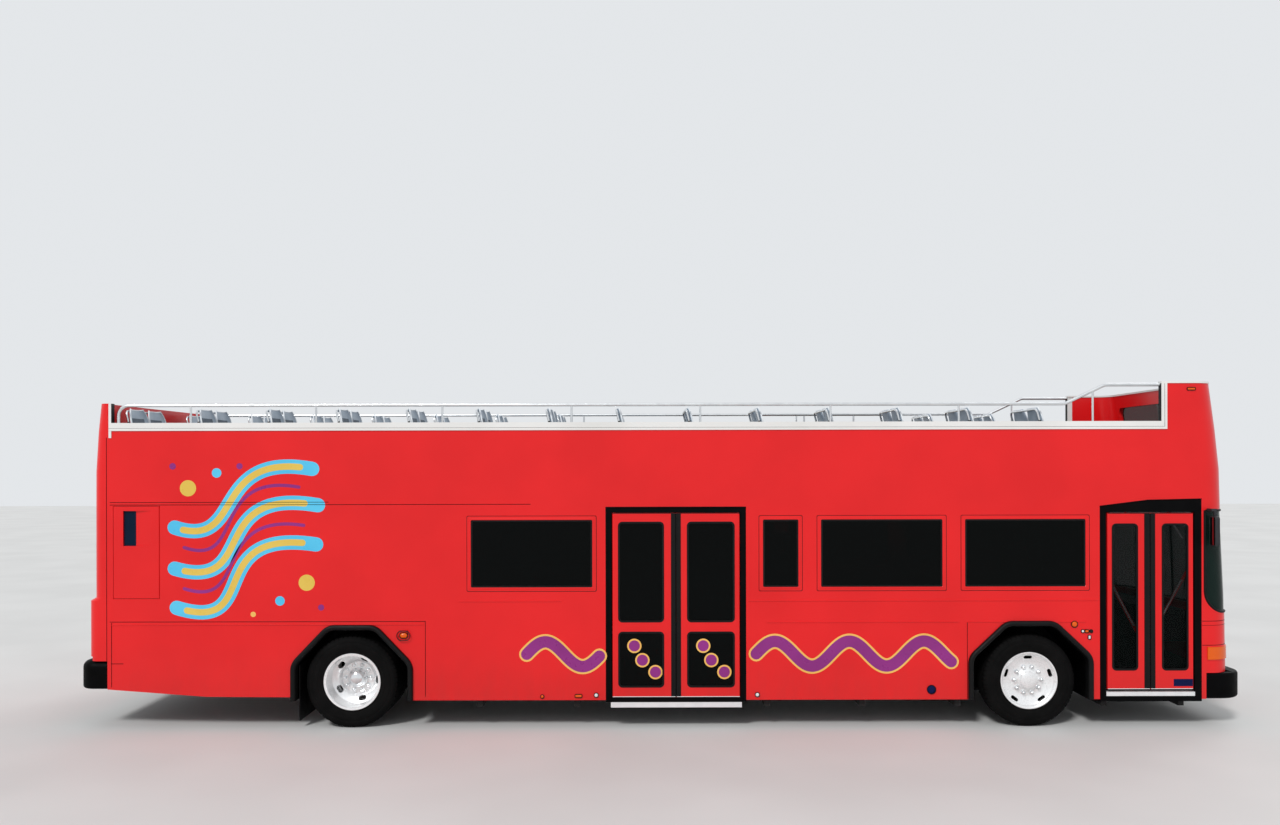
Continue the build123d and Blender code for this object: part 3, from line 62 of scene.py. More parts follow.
def addNode(tree, kind, settings=None, links=None, values=None):
    node = tree.nodes.new(kind)
    for key, value in (settings or {}).items():
        setattr(node, key, value)
    for key, value in (values or {}).items():
        node.inputs[key].default_value = value
    for key, source in (links or {}).items():
        tree.links.new(source, node.inputs[key])
    return node


def startMaterial(name, values):
    material = bpy.data.materials.new(name)
    material.use_nodes = True
    tree = material.node_tree
    shader = tree.nodes["Principled BSDF"]
    for key, value in values.items():
        shader.inputs[key].default_value = value
    return material, tree, shader


def noiseOf(tree, sizeMm, detail=2.0, rough=0.5, stretch=(1, 1, 1)):
    coords = addNode(tree, "ShaderNodeTexCoord")
    mapping = addNode(tree, "ShaderNodeMapping", links={"Vector": coords.outputs["Object"]},
                      values={"Scale": stretch})
    return addNode(tree, "ShaderNodeTexNoise", links={"Vector": mapping.outputs["Vector"]},
                   values={"Scale": 1000 / sizeMm, "Detail": detail, "Roughness": rough})


def twoTones(tree, factor, dark, light, low=0.35, high=0.65):
    ramp = addNode(tree, "ShaderNodeValToRGB", links={"Fac": factor})
    ramp.color_ramp.elements[0].position = low
    ramp.color_ramp.elements[0].color = toLinear(dark)
    ramp.color_ramp.elements[1].position = high
    ramp.color_ramp.elements[1].color = toLinear(light)
    return ramp


def spread(tree, factor, low, high):
    return addNode(tree, "ShaderNodeMapRange", links={"Value": factor},
                   values={"From Min": 0.3, "From Max": 0.7, "To Min": low, "To Max": high})


def bumpFrom(tree, shader, height, distanceMm, strength=0.3):
    bump = addNode(tree, "ShaderNodeBump", links={"Height": height},
                   values={"Distance": distanceMm / 1000, "Strength": strength})
    tree.links.new(bump.outputs["Normal"], shader.inputs["Normal"])
    return bump


def busPaint(name, dark, light, dust):
    # Two-pack coach enamel, sprayed: glossy, with faint orange peel, and road film near the skirt
    material, tree, shader = startMaterial(name, {"Specular IOR Level": 0.3, "Coat Weight": 0.12,
                                                  "Coat Roughness": 0.12, "IOR": 1.5})
    cloud = noiseOf(tree, 900, 3)
    tone = twoTones(tree, cloud.outputs["Fac"], dark, light)
    coords = addNode(tree, "ShaderNodeTexCoord")
    split = addNode(tree, "ShaderNodeSeparateXYZ", links={"Vector": coords.outputs["Object"]})
    lowBand = addNode(tree, "ShaderNodeMapRange", links={"Value": split.outputs["Z"]},
                      values={"From Min": 0.9, "From Max": 0.25, "To Min": 0.0, "To Max": 0.32})
    streak = noiseOf(tree, 120, 5, 0.65, (1, 1, 0.35))
    film = addNode(tree, "ShaderNodeMath", {"operation": "MULTIPLY"},
                   {0: lowBand.outputs["Result"], 1: streak.outputs["Fac"]})
    mix = addNode(tree, "ShaderNodeMix", {"data_type": "RGBA"},
                  {0: film.outputs["Value"], 6: tone.outputs["Color"]}, {7: toLinear(dust)})
    tree.links.new(mix.outputs[2], shader.inputs["Base Color"])
    gloss = addNode(tree, "ShaderNodeMath", {"operation": "ADD"}, {0: film.outputs["Value"]}, {1: 0.28})
    tree.links.new(gloss.outputs["Value"], shader.inputs["Roughness"])
    peel = noiseOf(tree, 14, 1)
    bumpFrom(tree, shader, peel.outputs["Fac"], 0.25, 0.12)
    return material


def mouldedPlastic(name, dark, light, rough, grainMm=3.0, specular=0.5):
    # Moulded polymer: even colour with a fine pebbled grain
    material, tree, shader = startMaterial(name, {"IOR": 1.48, "Specular IOR Level": specular})
    tone = twoTones(tree, noiseOf(tree, 160, 4).outputs["Fac"], dark, light)
    tree.links.new(tone.outputs["Color"], shader.inputs["Base Color"])
    tree.links.new(spread(tree, noiseOf(tree, 60, 4).outputs["Fac"], rough - 0.07, rough + 0.09).outputs[0],
                   shader.inputs["Roughness"])
    bumpFrom(tree, shader, noiseOf(tree, grainMm, 1).outputs["Fac"], 0.3, 0.35)
    return material


def metalFinish(name, dark, light, rough, grainMm, stretch=(1, 1, 1), bump=0.1, metallic=1.0):
    # Bare metal: reflective, with the fine lines that polishing or drawing leaves
    material, tree, shader = startMaterial(name, {"Metallic": metallic})
    tone = twoTones(tree, noiseOf(tree, 90, 4).outputs["Fac"], dark, light)
    tree.links.new(tone.outputs["Color"], shader.inputs["Base Color"])
    grain = noiseOf(tree, grainMm, 2, 0.5, stretch)
    tree.links.new(spread(tree, grain.outputs["Fac"], rough - 0.06, rough + 0.1).outputs[0],
                   shader.inputs["Roughness"])
    bumpFrom(tree, shader, grain.outputs["Fac"], 0.15, bump)
    return material


def lensPlastic(name, code, pitchMm):
    # Moulded lamp lens: deep colour and fine prisms
    material, tree, shader = startMaterial(name, {"Roughness": 0.16, "IOR": 1.49, "Specular IOR Level": 0.3,
                                                  "Coat Weight": 0.15})
    coords = addNode(tree, "ShaderNodeTexCoord")
    wave = addNode(tree, "ShaderNodeTexWave", {"bands_direction": "Z"},
                   {"Vector": coords.outputs["Object"]}, {"Scale": 1000 / pitchMm / 6.283, "Distortion": 0.0})
    tone = twoTones(tree, noiseOf(tree, 30, 2).outputs["Fac"], code, code)
    tree.links.new(tone.outputs["Color"], shader.inputs["Base Color"])
    bumpFrom(tree, shader, wave.outputs["Fac"], 1.2, 0.5)
    return material


def vinylFilm(name, dark, light, specular=0.35):
    # Cast sign film: smooth and glossy, with hardly any texture
    material, tree, shader = startMaterial(name, {"IOR": 1.48, "Specular IOR Level": specular})
    tone = twoTones(tree, noiseOf(tree, 500, 3).outputs["Fac"], dark, light)
    tree.links.new(tone.outputs["Color"], shader.inputs["Base Color"])
    tree.links.new(spread(tree, noiseOf(tree, 90, 4).outputs["Fac"], 0.24, 0.38).outputs[0],
                   shader.inputs["Roughness"])
    return material


def safetyGlass(name, code, alpha, rough=0.03, specular=0.2):
    # Laminated or toughened glass: dark tint, mirror-smooth, with a faint film of dust
    material, tree, shader = startMaterial(name, {"IOR": 1.45, "Specular IOR Level": specular})
    tone = twoTones(tree, noiseOf(tree, 400, 3).outputs["Fac"], code, code)
    tree.links.new(tone.outputs["Color"], shader.inputs["Base Color"])
    film = noiseOf(tree, 300, 5, 0.6)
    tree.links.new(spread(tree, film.outputs["Fac"], rough, rough + 0.06).outputs[0],
                   shader.inputs["Roughness"])
    shader.inputs["Alpha"].default_value = alpha
    return material


materials = {
    "body_red": busPaint("coach enamel red", "#E11518", "#EA191C", "#7A3A34"),
    "white_paint": busPaint("coach enamel white", "#E4E3DF", "#EEEDEA", "#A8A196"),
    "frame_black": mouldedPlastic("satin black paint", "#040405", "#070708", 0.42, 5, 0.06),
    "chassis_grey": mouldedPlastic("chassis paint", "#141415", "#201F1E", 0.62, 6, 0.3),
    "glass_dark": safetyGlass("tinted side glass", "#020404", 0.94, 0.03, 0.1),
    "glass_clear": safetyGlass("clear door glass", "#030807", 0.5, 0.03, 0.1),
    "glass_green": safetyGlass("green windscreen glass", "#08201B", 0.78),
    "bumper_black": mouldedPlastic("bumper polyurethane", "#040404", "#060607", 0.5, 4, 0.05),
    "rubber_black": mouldedPlastic("moulded rubber", "#070707", "#0B0B0C", 0.5, 3, 0.2),
    "tyre_black": mouldedPlastic("tyre rubber", "#080808", "#0F0E0E", 0.75, 4, 0.09),
    "rim_steel": metalFinish("polished wheel steel", "#F6F6F6", "#FCFCFC", 0.28, 3, (1, 1, 1), 0.1, 0.6),
    "rail_steel": metalFinish("stainless tube", "#DCDEE0", "#E8EAEB", 0.26, 2, (1, 1, 8)),
    "lamp_clear": lensPlastic("clear lamp lens", "#E2E6E8", 9),
    "lamp_amber": lensPlastic("amber lamp lens", "#E65E04", 7),
    "lamp_red": lensPlastic("red lamp lens", "#B01216", 7),
    "trim_grey": mouldedPlastic("grained cabin moulding", "#1C1D20", "#28292D", 0.55, 3),
    "seat_blue": mouldedPlastic("moulded seat polymer", "#9DADBC", "#AEBBC8", 0.4, 3),
    "floor_grey": mouldedPlastic("ribbed floor covering", "#3A3B3D", "#4A4B4D", 0.7, 4),
    "aluminium_trim": metalFinish("mill aluminium", "#ECEDEE", "#F4F4F5", 0.34, 2, (0.2, 1, 1), 0.1, 0.5),
    "engine_iron": mouldedPlastic("cast iron block", "#2A2826", "#3B3835", 0.7, 8),
    "film_blue": vinylFilm("sky blue film", "#4FC0EA", "#5ECBF0"),
    "film_yellow": vinylFilm("straw yellow film", "#E2BF52", "#E8C85F"),
    "film_purple": vinylFilm("purple film", "#8A2A7C", "#962F88"),
    "film_orange": vinylFilm("apricot film", "#F0B95C", "#F7C268"),
    "patch_blue": vinylFilm("dark blue film", "#0A1440", "#0D1848", 0.12),
    "seat_edge": mouldedPlastic("seat edging", "#DCE2E8", "#EBEFF2", 0.38, 4),
    "seat_inlay": mouldedPlastic("seat inlay", "#4A5664", "#5A6876", 0.6, 2),
    "lamp_white": mouldedPlastic("white lamp lens", "#DCDDDC", "#ECEDEC", 0.2, 4),
    "hub_chrome": metalFinish("plated hub cap", "#D8DADC", "#F4F5F6", 0.1, 4, (1, 1, 1), 0.04),
    "mirror_silver": metalFinish("silvered mirror", "#8E959B", "#989FA5", 0.03, 60, (1, 1, 1), 0.01),
    "deck_lining": mouldedPlastic("deck lining", "#B4AFA3", "#C2BDB1", 0.5, 3),
    "driver_cloth": mouldedPlastic("woven seat cloth", "#1B2230", "#2A3346", 0.85, 1.6),
    "scoop_blue": vinylFilm("deep blue enamel", "#05182B", "#071D33", 0.1),
    "bezel_chrome": metalFinish("chromed bezel", "#CFD2D5", "#EFF1F2", 0.12, 5, (1, 1, 1), 0.05),
}
# The record's slot for each CAD node, and the panes that have a finish of their own
slotOf = {s["node"]: s["material_slot"] for s in frame["record"]["subparts"]}
ownMaterial = {"front_door_glass_aft": "glass_clear", "front_door_glass_fore": "glass_clear"}
for nodeName, node in nodes.items():
    node.data.materials.clear()
    node.data.materials.append(materials[ownMaterial.get(nodeName, slotOf[nodeName])])
print("materials ready:", len(materials))

# Mesh helpers

def meshOf(bm, name):
    mesh = bpy.data.meshes.new(name)
    bm.to_mesh(mesh)
    bm.free()
    return mesh


def newPiece(name, bm, slot, body, sharpAngle=32):
    bmesh.ops.recalc_face_normals(bm, faces=bm.faces)
    limit = math.radians(sharpAngle)
    for face in bm.faces:
        face.smooth = True
    for edge in bm.edges:
        edge.smooth = len(edge.link_faces) == 2 and edge.calc_face_angle(0) < limit
    return finishPiece(bpy.data.objects.new(name, meshOf(bm, name)), slot, body)


def finishPiece(piece, slot, body):
    scene.collection.objects.link(piece)
    piece.data.materials.append(materials[slot])
    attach(piece, body)
    return piece


def addBox(bm, x, y, z, bevel=0.0, segments=2):
    corners = [bm.verts.new((a, b, c)) for a in x for b in y for c in z]
    quads = [(0, 1, 3, 2), (4, 6, 7, 5), (0, 4, 5, 1), (2, 3, 7, 6), (0, 2, 6, 4), (1, 5, 7, 3)]
    faces = [bm.faces.new([corners[i] for i in quad]) for quad in quads]
    if bevel:
        edges = list({e for f in faces for e in f.edges})
        bmesh.ops.bevel(bm, geom=edges, offset=bevel, segments=segments, profile=0.6, affect="EDGES")


def roundedLoop(x0, x1, z0, z1, radius, steps=6):
    loop = []
    for cx, cz, start in ((x1 - radius, z1 - radius, 0), (x0 + radius, z1 - radius, 90),
                          (x0 + radius, z0 + radius, 180), (x1 - radius, z0 + radius, 270)):
        for step in range(steps + 1):
            angle = math.radians(start + 90 * step / steps)
            loop.append((cx + radius * math.cos(angle), cz + radius * math.sin(angle)))
    return loop


def growLoop(x0, x1, z0, z1, radius, grow, steps=6, cap=1.0):
    return roundedLoop(x0 - grow, x1 + grow, z0 - grow, z1 + grow, min(max(radius + grow, 0.001), cap), steps)


def weld(bm, distance=weldDistance):
    bmesh.ops.remove_doubles(bm, verts=bm.verts, dist=distance)


def addWalls(bm, rows, closedRows=True, closedSweep=True):
    # Faces between each row of points and the next, and between the last row and the first on a closed sweep
    for low, high in zip(rows, rows[1:] + (rows[:1] if closedSweep else [])):
        for i in range(len(low) if closedRows else len(low) - 1):
            j = (i + 1) % len(low)
            bm.faces.new((low[i], low[j], high[j], high[i]))


def addEnds(bm, rows):
    # Caps a swept section at the first and last point of its rows
    bm.faces.new([row[0] for row in rows])
    bm.faces.new([row[-1] for row in reversed(rows)])


def addRing(bm, outer, inner, y0, y1):
    # A flat ring between two loops of as many points, standing in the side plane
    addWalls(bm, [[bm.verts.new((x, y, z)) for x, z in loop]
                  for loop, y in ((outer, y0), (outer, y1), (inner, y1), (inner, y0))])


def addPlate(bm, loop, y0, y1):
    front = [bm.verts.new((x, y0, z)) for x, z in loop]
    back = [bm.verts.new((x, y1, z)) for x, z in loop]
    bm.faces.new(front)
    bm.faces.new(list(reversed(back)))
    count = len(loop)
    for i in range(count):
        j = (i + 1) % count
        bm.faces.new((front[i], back[i], back[j], front[j]))


def addStrip(bm, loop, y, side, proud, sunk=0.0004):
    addPlate(bm, [(p[0], p[1]) for p in loop], y - side * sunk, y + side * proud)


def addTurned(bm, profile, centre, axis="Y", segments=64, side=1):
    # profile: radius and distance along the axis, closed where it meets the axis
    rings = []
    for radius, along in profile:
        ring = []
        count = 1 if radius == 0 else segments
        for step in range(count):
            angle = 2 * math.pi * step / segments
            a, b = radius * math.cos(angle), radius * math.sin(angle)
            point = {"Y": (a, along * side, b), "X": (along * side, a, b), "Z": (a, b, along * side)}[axis]
            ring.append(bm.verts.new([p + c for p, c in zip(point, centre)]))
        rings.append(ring)
    for low, high in zip(rings, rings[1:]):
        for step in range(segments):
            after = (step + 1) % segments
            corners = list(dict.fromkeys([low[step % len(low)], low[after % len(low)],
                                          high[after % len(high)], high[step % len(high)]]))
            if len(corners) > 2:
                bm.faces.new(corners)


def addTube(bm, points, radius, segments=10, closed=False):
    count = len(points)
    points = [Vector(p) for p in points]
    rings = []
    side = None
    sharpTurn = 1.05  # past this a corner isn't widened
    for i, point in enumerate(points):
        before = points[i - 1] if (i or closed) else point
        after = points[(i + 1) % count] if (i < count - 1 or closed) else point
        tangent = (after - before).normalized()
        if side is None:
            side = tangent.orthogonal().normalized()
        side = (side - tangent * side.dot(tangent)).normalized()
        up = tangent.cross(side)
        into = (point - before).normalized() if point != before else tangent
        widen = 1 / max(0.5, math.cos(into.angle(tangent, 0)))
        reach = radius * widen if widen < sharpTurn else radius
        angles = [2 * math.pi * step / segments for step in range(segments)]
        rings.append([bm.verts.new(point + (side * math.cos(a) + up * math.sin(a)) * reach) for a in angles])
    addWalls(bm, rings, True, closed)
    if not closed:
        bm.faces.new(rings[0])
        bm.faces.new(list(reversed(rings[-1])))


def bend(points, radius, steps=5):
    # The same route with its corners rounded by arcs
    points = [Vector(p) for p in points]
    route = [points[0]]
    for before, corner, after in zip(points, points[1:], points[2:]):
        back, ahead = before - corner, after - corner
        turn = math.pi - back.angle(ahead)
        if turn < 0.01:
            route.append(corner)
            continue
        reach = min(radius * math.tan(turn / 2), back.length / 2, ahead.length / 2)
        arc = reach / math.tan(turn / 2)
        middle = corner + (back.normalized() + ahead.normalized()).normalized() * arc / math.cos(turn / 2)
        start = corner + back.normalized() * reach - middle
        end = corner + ahead.normalized() * reach - middle
        for step in range(steps + 1):
            t = step / steps
            route.append(middle + (start * math.sin((1 - t) * turn)
                                   + end * math.sin(t * turn)) / math.sin(turn))
    return route + [points[-1]]


# Geometry Nodes: copies of a piece along a line, or round a wheel's axis

def newTree(name, inputs):
    tree = bpy.data.node_groups.new(name, "GeometryNodeTree")
    tree.interface.new_socket("Geometry", in_out="INPUT", socket_type="NodeSocketGeometry")
    ids = {}
    for label, kind in inputs:
        ids[label] = tree.interface.new_socket(label, in_out="INPUT", socket_type=kind).identifier
    tree.interface.new_socket("Geometry", in_out="OUTPUT", socket_type="NodeSocketGeometry")
    start = addNode(tree, "NodeGroupInput")
    return tree, ids, start


def endTree(tree, start, geometry):
    real = addNode(tree, "GeometryNodeRealizeInstances", links={0: geometry})
    paint = addNode(tree, "GeometryNodeSetMaterial", links={0: real.outputs[0],
                                                            "Material": start.outputs["Material"]})
    addNode(tree, "NodeGroupOutput", links={0: paint.outputs[0]})


def rowTree():
    tree, ids, start = newTree("copies in a row", [
        ("Count", "NodeSocketInt"), ("Pitch", "NodeSocketVector"), ("Material", "NodeSocketMaterial")])
    line = addNode(tree, "GeometryNodeMeshLine", {"mode": "OFFSET"},
                   {"Count": start.outputs["Count"], "Offset": start.outputs["Pitch"]})
    copies = addNode(tree, "GeometryNodeInstanceOnPoints",
                     links={"Points": line.outputs[0], "Instance": start.outputs["Geometry"]})
    endTree(tree, start, copies.outputs[0])
    return tree, ids


def wheelTree():
    tree, ids, start = newTree("copies round a wheel", [
        ("Count", "NodeSocketInt"), ("Radius", "NodeSocketFloat"), ("Centre", "NodeSocketVector"),
        ("Material", "NodeSocketMaterial")])
    ring = addNode(tree, "GeometryNodeMeshCircle", links={"Vertices": start.outputs["Count"],
                                                          "Radius": start.outputs["Radius"]})
    index = addNode(tree, "GeometryNodeInputIndex")
    share = addNode(tree, "ShaderNodeMath", {"operation": "DIVIDE"},
                    {0: index.outputs[0], 1: start.outputs["Count"]})
    angle = addNode(tree, "ShaderNodeMath", {"operation": "MULTIPLY"}, {0: share.outputs[0]},
                    {1: 2 * math.pi})
    turn = addNode(tree, "ShaderNodeCombineXYZ", links={"Z": angle.outputs[0]})
    copies = addNode(tree, "GeometryNodeInstanceOnPoints",
                     links={"Points": ring.outputs[0], "Instance": start.outputs["Geometry"],
                            "Rotation": turn.outputs[0]})
    stand = addNode(tree, "GeometryNodeTransform", links={0: copies.outputs[0],
                                                          "Translation": start.outputs["Centre"]})
    stand.inputs["Rotation"].default_value = (math.pi / 2, 0, 0)
    endTree(tree, start, stand.outputs[0])
    return tree, ids


rowNodes = rowTree()
wheelNodes = wheelTree()


def asObject(bm):
    bmesh.ops.recalc_face_normals(bm, faces=bm.faces)
    thing = bpy.data.objects.new("template", meshOf(bm, "template"))
    scene.collection.objects.link(thing)
    return thing


def evaluated(thing):
    # The plain mesh that an object's modifiers give; the object itself goes
    graph = bpy.context.evaluated_depsgraph_get()
    mesh = bpy.data.meshes.new_from_object(thing.evaluated_get(graph))
    thing.modifiers.clear()
    bpy.data.objects.remove(thing)
    return mesh


def asBmesh(mesh):
    bm = bmesh.new()
    bm.from_mesh(mesh)
    bpy.data.meshes.remove(mesh)
    return bm


def copiesOf(bm, nodesAndIds, values, slot):
    # Runs a tree on a small template and gives back the mesh of all its copies
    tree, ids = nodesAndIds
    thing = asObject(bm)
    modifier = thing.modifiers.new("copies", "NODES")
    modifier.node_group = tree
    for label, value in {**values, "Material": materials[slot]}.items():
        modifier[ids[label]] = value
    return evaluated(thing)


# Side windows: a raised red surround and a black rubber gasket on every pane, and a black ring of painted
# shade round each surround

windowSet = {"bottom": 1.478, "top": 2.179, "radius": 0.012, "gasket": 0.016, "gasketLip": 0.003,
             "glassDepth": 0.006, "cornerCap": 0.018,
             # distance outside the glass edge, and how proud of the wall
             "surround": [(0.002, -0.002), (0.002, 0.0055), (0.005, 0.0075), (0.014, 0.0075), (0.021, 0.004),
                          (0.041, 0.003), (0.042, -0.002)],
             # inner and outer distance outside the glass edge, and how proud: a black ring of painted shade,
             # the shadow line round the raised surround
             "shadeLine": (0.042, 0.0465, 0.0012),
             "right": [(-2.0, -0.734), (1.055, 1.421), (1.662, 2.927), (3.168, 4.423)],
             "left": [(-2.0, -0.734), (-0.54, 0.726), (1.662, 2.927), (3.168, 4.423), (4.69, 5.54)]}


def addFrame(bm, args, profile, surface, side, cap, steps=6):
    # A moulding round a window, swept from rows of how far out and how proud
    addWalls(bm, [[bm.verts.new((x, surface + side * proud, z)) for x, z in growLoop(*args, grow, steps, cap)]
                  for grow, proud in profile])


def makeWindowTrim():
    w = windowSet
    for label, side in sides:
        red, rubber = bmesh.new(), bmesh.new()
        surface = side * bodyHalf
        start, end, proud = w["shadeLine"]
        for x0, x1 in w[label]:
            args = (x0, x1, w["bottom"], w["top"], w["radius"])
            cap = w["cornerCap"]
            addFrame(red, args, w["surround"], surface, side, cap)
            # The first ring is painted shade round the surround; the second is the pane's rubber gasket
            addRing(rubber, growLoop(*args, end, cap=cap), growLoop(*args, start, cap=cap),
                    surface - side * 0.001, surface + side * proud)
            addRing(rubber, growLoop(*args, w["gasketLip"]), growLoop(*args, -w["gasket"]),
                    surface - side * w["glassDepth"], surface + side * w["gasketLip"])
        newPiece(f"window_surrounds_{label}", red, "body_red", "bus")
        newPiece(f"window_gaskets_and_shade_lines_{label}", rubber, "rubber_black", "bus")


# Doors: glazing gaskets, meeting-edge seals and foot strips, each on its own leaf

doorSet = {
    "gasket": 0.014, "gasketLip": 0.006, "proud": 0.003, "footHigh": 0.007, "outside": -bodyHalf,
    "paneRadius": 0.04, "paneDepth": 0.014, "sealRadius": 0.006, "sealDeep": 0.02, "sealProud": 0.002,
    "topSealHigh": 0.006, "topSealDeep": 0.01, "topSealProud": 0.0015, "footProud": 0.0025,
    "leaves": [
        # body, panes as x0, x1, z0, z1, seal as x0, x1, leaf bottom and top
        {"body": "mid_leaf_aft", "panes": [(-0.458, 0.012, 0.432, 1.005), (-0.458, 0.012, 1.114, 2.155)],
         "seal": (0.09, 0.138), "bottom": 0.327, "top": 2.252, "span": (-0.525, 0.138)},
        {"body": "mid_leaf_fore", "panes": [(0.263, 0.751, 0.432, 1.005), (0.263, 0.751, 1.114, 2.155)],
         "seal": (0.146, 0.194), "bottom": 0.327, "top": 2.252, "span": (0.146, 0.812)},
        {"body": "front_leaf_aft", "panes": [(4.707, 4.97, 0.6, 2.127)],
         "seal": (5.04, 5.099), "bottom": 0.4, "top": 2.242, "span": (4.655, 5.099)},
        {"body": "front_leaf_fore", "panes": [(5.229, 5.497, 0.6, 2.127)],
         "seal": (5.1055, 5.155), "bottom": 0.4, "top": 2.242, "span": (5.1055, 5.5495)},
    ]}


def makeDoorTrim():
    d = doorSet
    y = d["outside"]
    for leaf in d["leaves"]:
        rubber = bmesh.new()
        for x0, x1, z0, z1 in leaf["panes"]:
            args = (x0, x1, z0, z1, d["paneRadius"])
            addRing(rubber, growLoop(*args, d["gasketLip"], 8), growLoop(*args, -d["gasket"], 8),
                    y + d["paneDepth"], y - d["proud"])
        s0, s1 = leaf["seal"]
        addPlate(rubber, roundedLoop(s0, s1, leaf["bottom"] + 0.001, leaf["top"] - 0.001, d["sealRadius"], 3),
                 y + d["sealDeep"], y - d["sealProud"])
        x0, x1 = leaf["span"]
        z, half = leaf["top"] - 0.004, d["topSealHigh"] / 2
        addPlate(rubber, roundedLoop(x0 + 0.004, x1 - 0.002, z - half, z + half, 0.002, 2),
                 y + d["topSealDeep"], y - d["topSealProud"])
        newPiece(f"{leaf['body']}_rubbers", rubber, "rubber_black", leaf["body"])
        foot = bmesh.new()
        addBox(foot, (x0 + 0.003, x1 - 0.003), (y - d["footProud"], y + 0.001),
               (leaf["bottom"] + 0.0005, leaf["bottom"] + d["footHigh"]), 0.0008, 1)
        newPiece(f"{leaf['body']}_foot_strip", foot, "aluminium_trim", leaf["body"])


# Panel gaps, mouldings and the steps of the coping on both sides

sideSet = {
    "gapWidth": 0.005, "gapProud": 0.0016,
    "right": [  # x0, z0, x1, z1
        (-5.78, 1.122, -2.48, 1.122), (-5.776, 2.372, -3.493, 2.372), (-5.776, 2.346, -1.38, 2.346),
        (-2.48, 0.34, -2.48, 1.122), (3.189, 0.3, 3.189, 1.1), (-5.765, 0.685, -5.64, 0.685),
        (-5.812, 0.442, -5.812, 3.047), (-5.762, 0.442, -5.762, 1.11)],
    "left": [(-5.78, 1.122, -4.0, 1.122), (-2.48, 0.34, -2.48, 1.122), (3.189, 0.3, 3.189, 1.1),
             (-5.776, 2.372, 5.2, 2.372), (-2.4, 1.122, 3.1, 1.122), (0.4, 0.3, 0.4, 1.122),
             (-5.812, 0.442, -5.812, 3.047)],
    "mouldings": {"right": [(0.9, 4.56, 1.331), (-2.13, -1.06, 1.331), (1.087, 3.1, 1.107),
                            (-5.76, -2.5, 1.09), (3.2, 3.6, 1.107), (4.15, 4.43, 1.107)],
                  "left": [(-2.4, 5.5, 1.331), (-2.4, 3.1, 1.107), (-5.76, -2.5, 1.09)]},
    "mouldingHigh": 0.011, "mouldingProud": 0.006,
    # steps of the coping: z0, z1 along the side, x0, x1 up the front post, and the sealed groove over it
    "copingY": 1.303, "copingStep": 0.0036, "copingLow": (3.1202, 3.146), "copingRun": (-5.785, 5.2808),
    "postStep": (5.256, 5.2808), "postTop": 3.598, "groove": 0.003, "grooveProud": 0.0007, "edge": 0.0012}


def makeCopingSteps():
    # The lower strip of the coping and the edge of the front post stand a little proud
    s = sideSet
    steps, grooves = bmesh.new(), bmesh.new()
    low, high = s["copingLow"]
    for side in (-1, 1):
        inner = side * (s["copingY"] - 0.001)
        y = sorted((inner, side * (s["copingY"] + s["copingStep"])))
        addBox(steps, s["copingRun"], y, (low, high), s["edge"], 1)
        addBox(steps, s["postStep"], y, (high, s["postTop"]), s["edge"], 1)
        y = sorted((inner, side * (s["copingY"] + s["grooveProud"])))
        addBox(grooves, (s["copingRun"][0], s["postStep"][0]), y, (high, high + s["groove"]))
        addBox(grooves, (s["postStep"][0] - s["groove"], s["postStep"][0]), y, (high, s["postTop"]))
    newPiece("coping_steps", steps, "white_paint", "bus")
    newPiece("coping_grooves", grooves, "chassis_grey", "bus")


def makeSideTrim():
    s = sideSet
    for label, side in sides:
        y = side * bodyHalf
        gaps, strips = bmesh.new(), bmesh.new()
        wide = s["gapWidth"] / 2
        for x0, z0, x1, z1 in s[label]:
            low, high = sorted((x0, x1)), sorted((z0, z1))
            loop = roundedLoop(low[0] - wide, low[1] + wide, high[0] - wide, high[1] + wide, 0.001, 1)
            addPlate(gaps, loop, y - side * 0.001, y + side * s["gapProud"])
        for x0, x1, z in s["mouldings"][label]:
            addBox(strips, (x0, x1), sorted((y - side * 0.002, y + side * s["mouldingProud"])),
                   (z - s["mouldingHigh"] / 2, z + s["mouldingHigh"] / 2), 0.003)
        newPiece(f"panel_gaps_{label}", gaps, "frame_black", "bus")
        newPiece(f"body_mouldings_{label}", strips, "body_red", "bus")


# Arch rubbers: a rounded band swept round each arch, and the flaps behind the rear wheels

archSet = {
    # wheelhouse middle x, half width, shoulder height, half width of the flat top, top height
    "arches": [(3.85, 0.604, 0.726, 0.24, 1.067), (-3.25, 0.59, 0.667, 0.236, 1.038)],
    "foot": 0.296, "corner": 0.14, "shoulderGrowth": 0.4, "steps": 8,
    # the band's section: how far outside the arch's edge, and how far from the middle of the bus
    "section": [(0.05, 1.2945), (0.05, 1.31), (0.0475, 1.321), (0.041, 1.3295), (0.031, 1.3345),
                (0.022, 1.335), (0.011, 1.3325), (0.002, 1.326), (-0.0045, 1.316), (-0.007, 1.302),
                (-0.007, 1.235), (0.0, 1.235), (0.0, 1.2945)],
    "flap": {"setback": 0.55, "thick": 0.01, "y": (0.6, 1.235), "z": (0.07, 0.66)}}


def archPath(x, half, shoulder, flat, top, grow):
    a = archSet
    half, top = half + grow, top + grow
    flat, shoulder = flat + grow * a["shoulderGrowth"], shoulder + grow * a["shoulderGrowth"]
    corners = [(x - half, 0, a["foot"]), (x - half, 0, shoulder), (x - flat, 0, top), (x + flat, 0, top),
               (x + half, 0, shoulder), (x + half, 0, a["foot"])]
    return bend(corners, a["corner"] + grow, a["steps"])


def makeArchRubbers():
    a = archSet
    bm = bmesh.new()
    for side in (-1, 1):
        for arch in a["arches"]:
            rows = [[bm.verts.new((p.x, side * y, p.z)) for p in archPath(*arch, grow)]
                    for grow, y in a["section"]]
            addWalls(bm, rows, closedRows=False)
            addEnds(bm, rows)
        f = a["flap"]
        x = rearAxleX - f["setback"]
        addBox(bm, (x - f["thick"], x), sorted(side * y for y in f["y"]), f["z"], 0.003)
    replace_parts(newPiece("arch_bands", bm, "rubber_black", "bus", 40), "arch_rubbers")
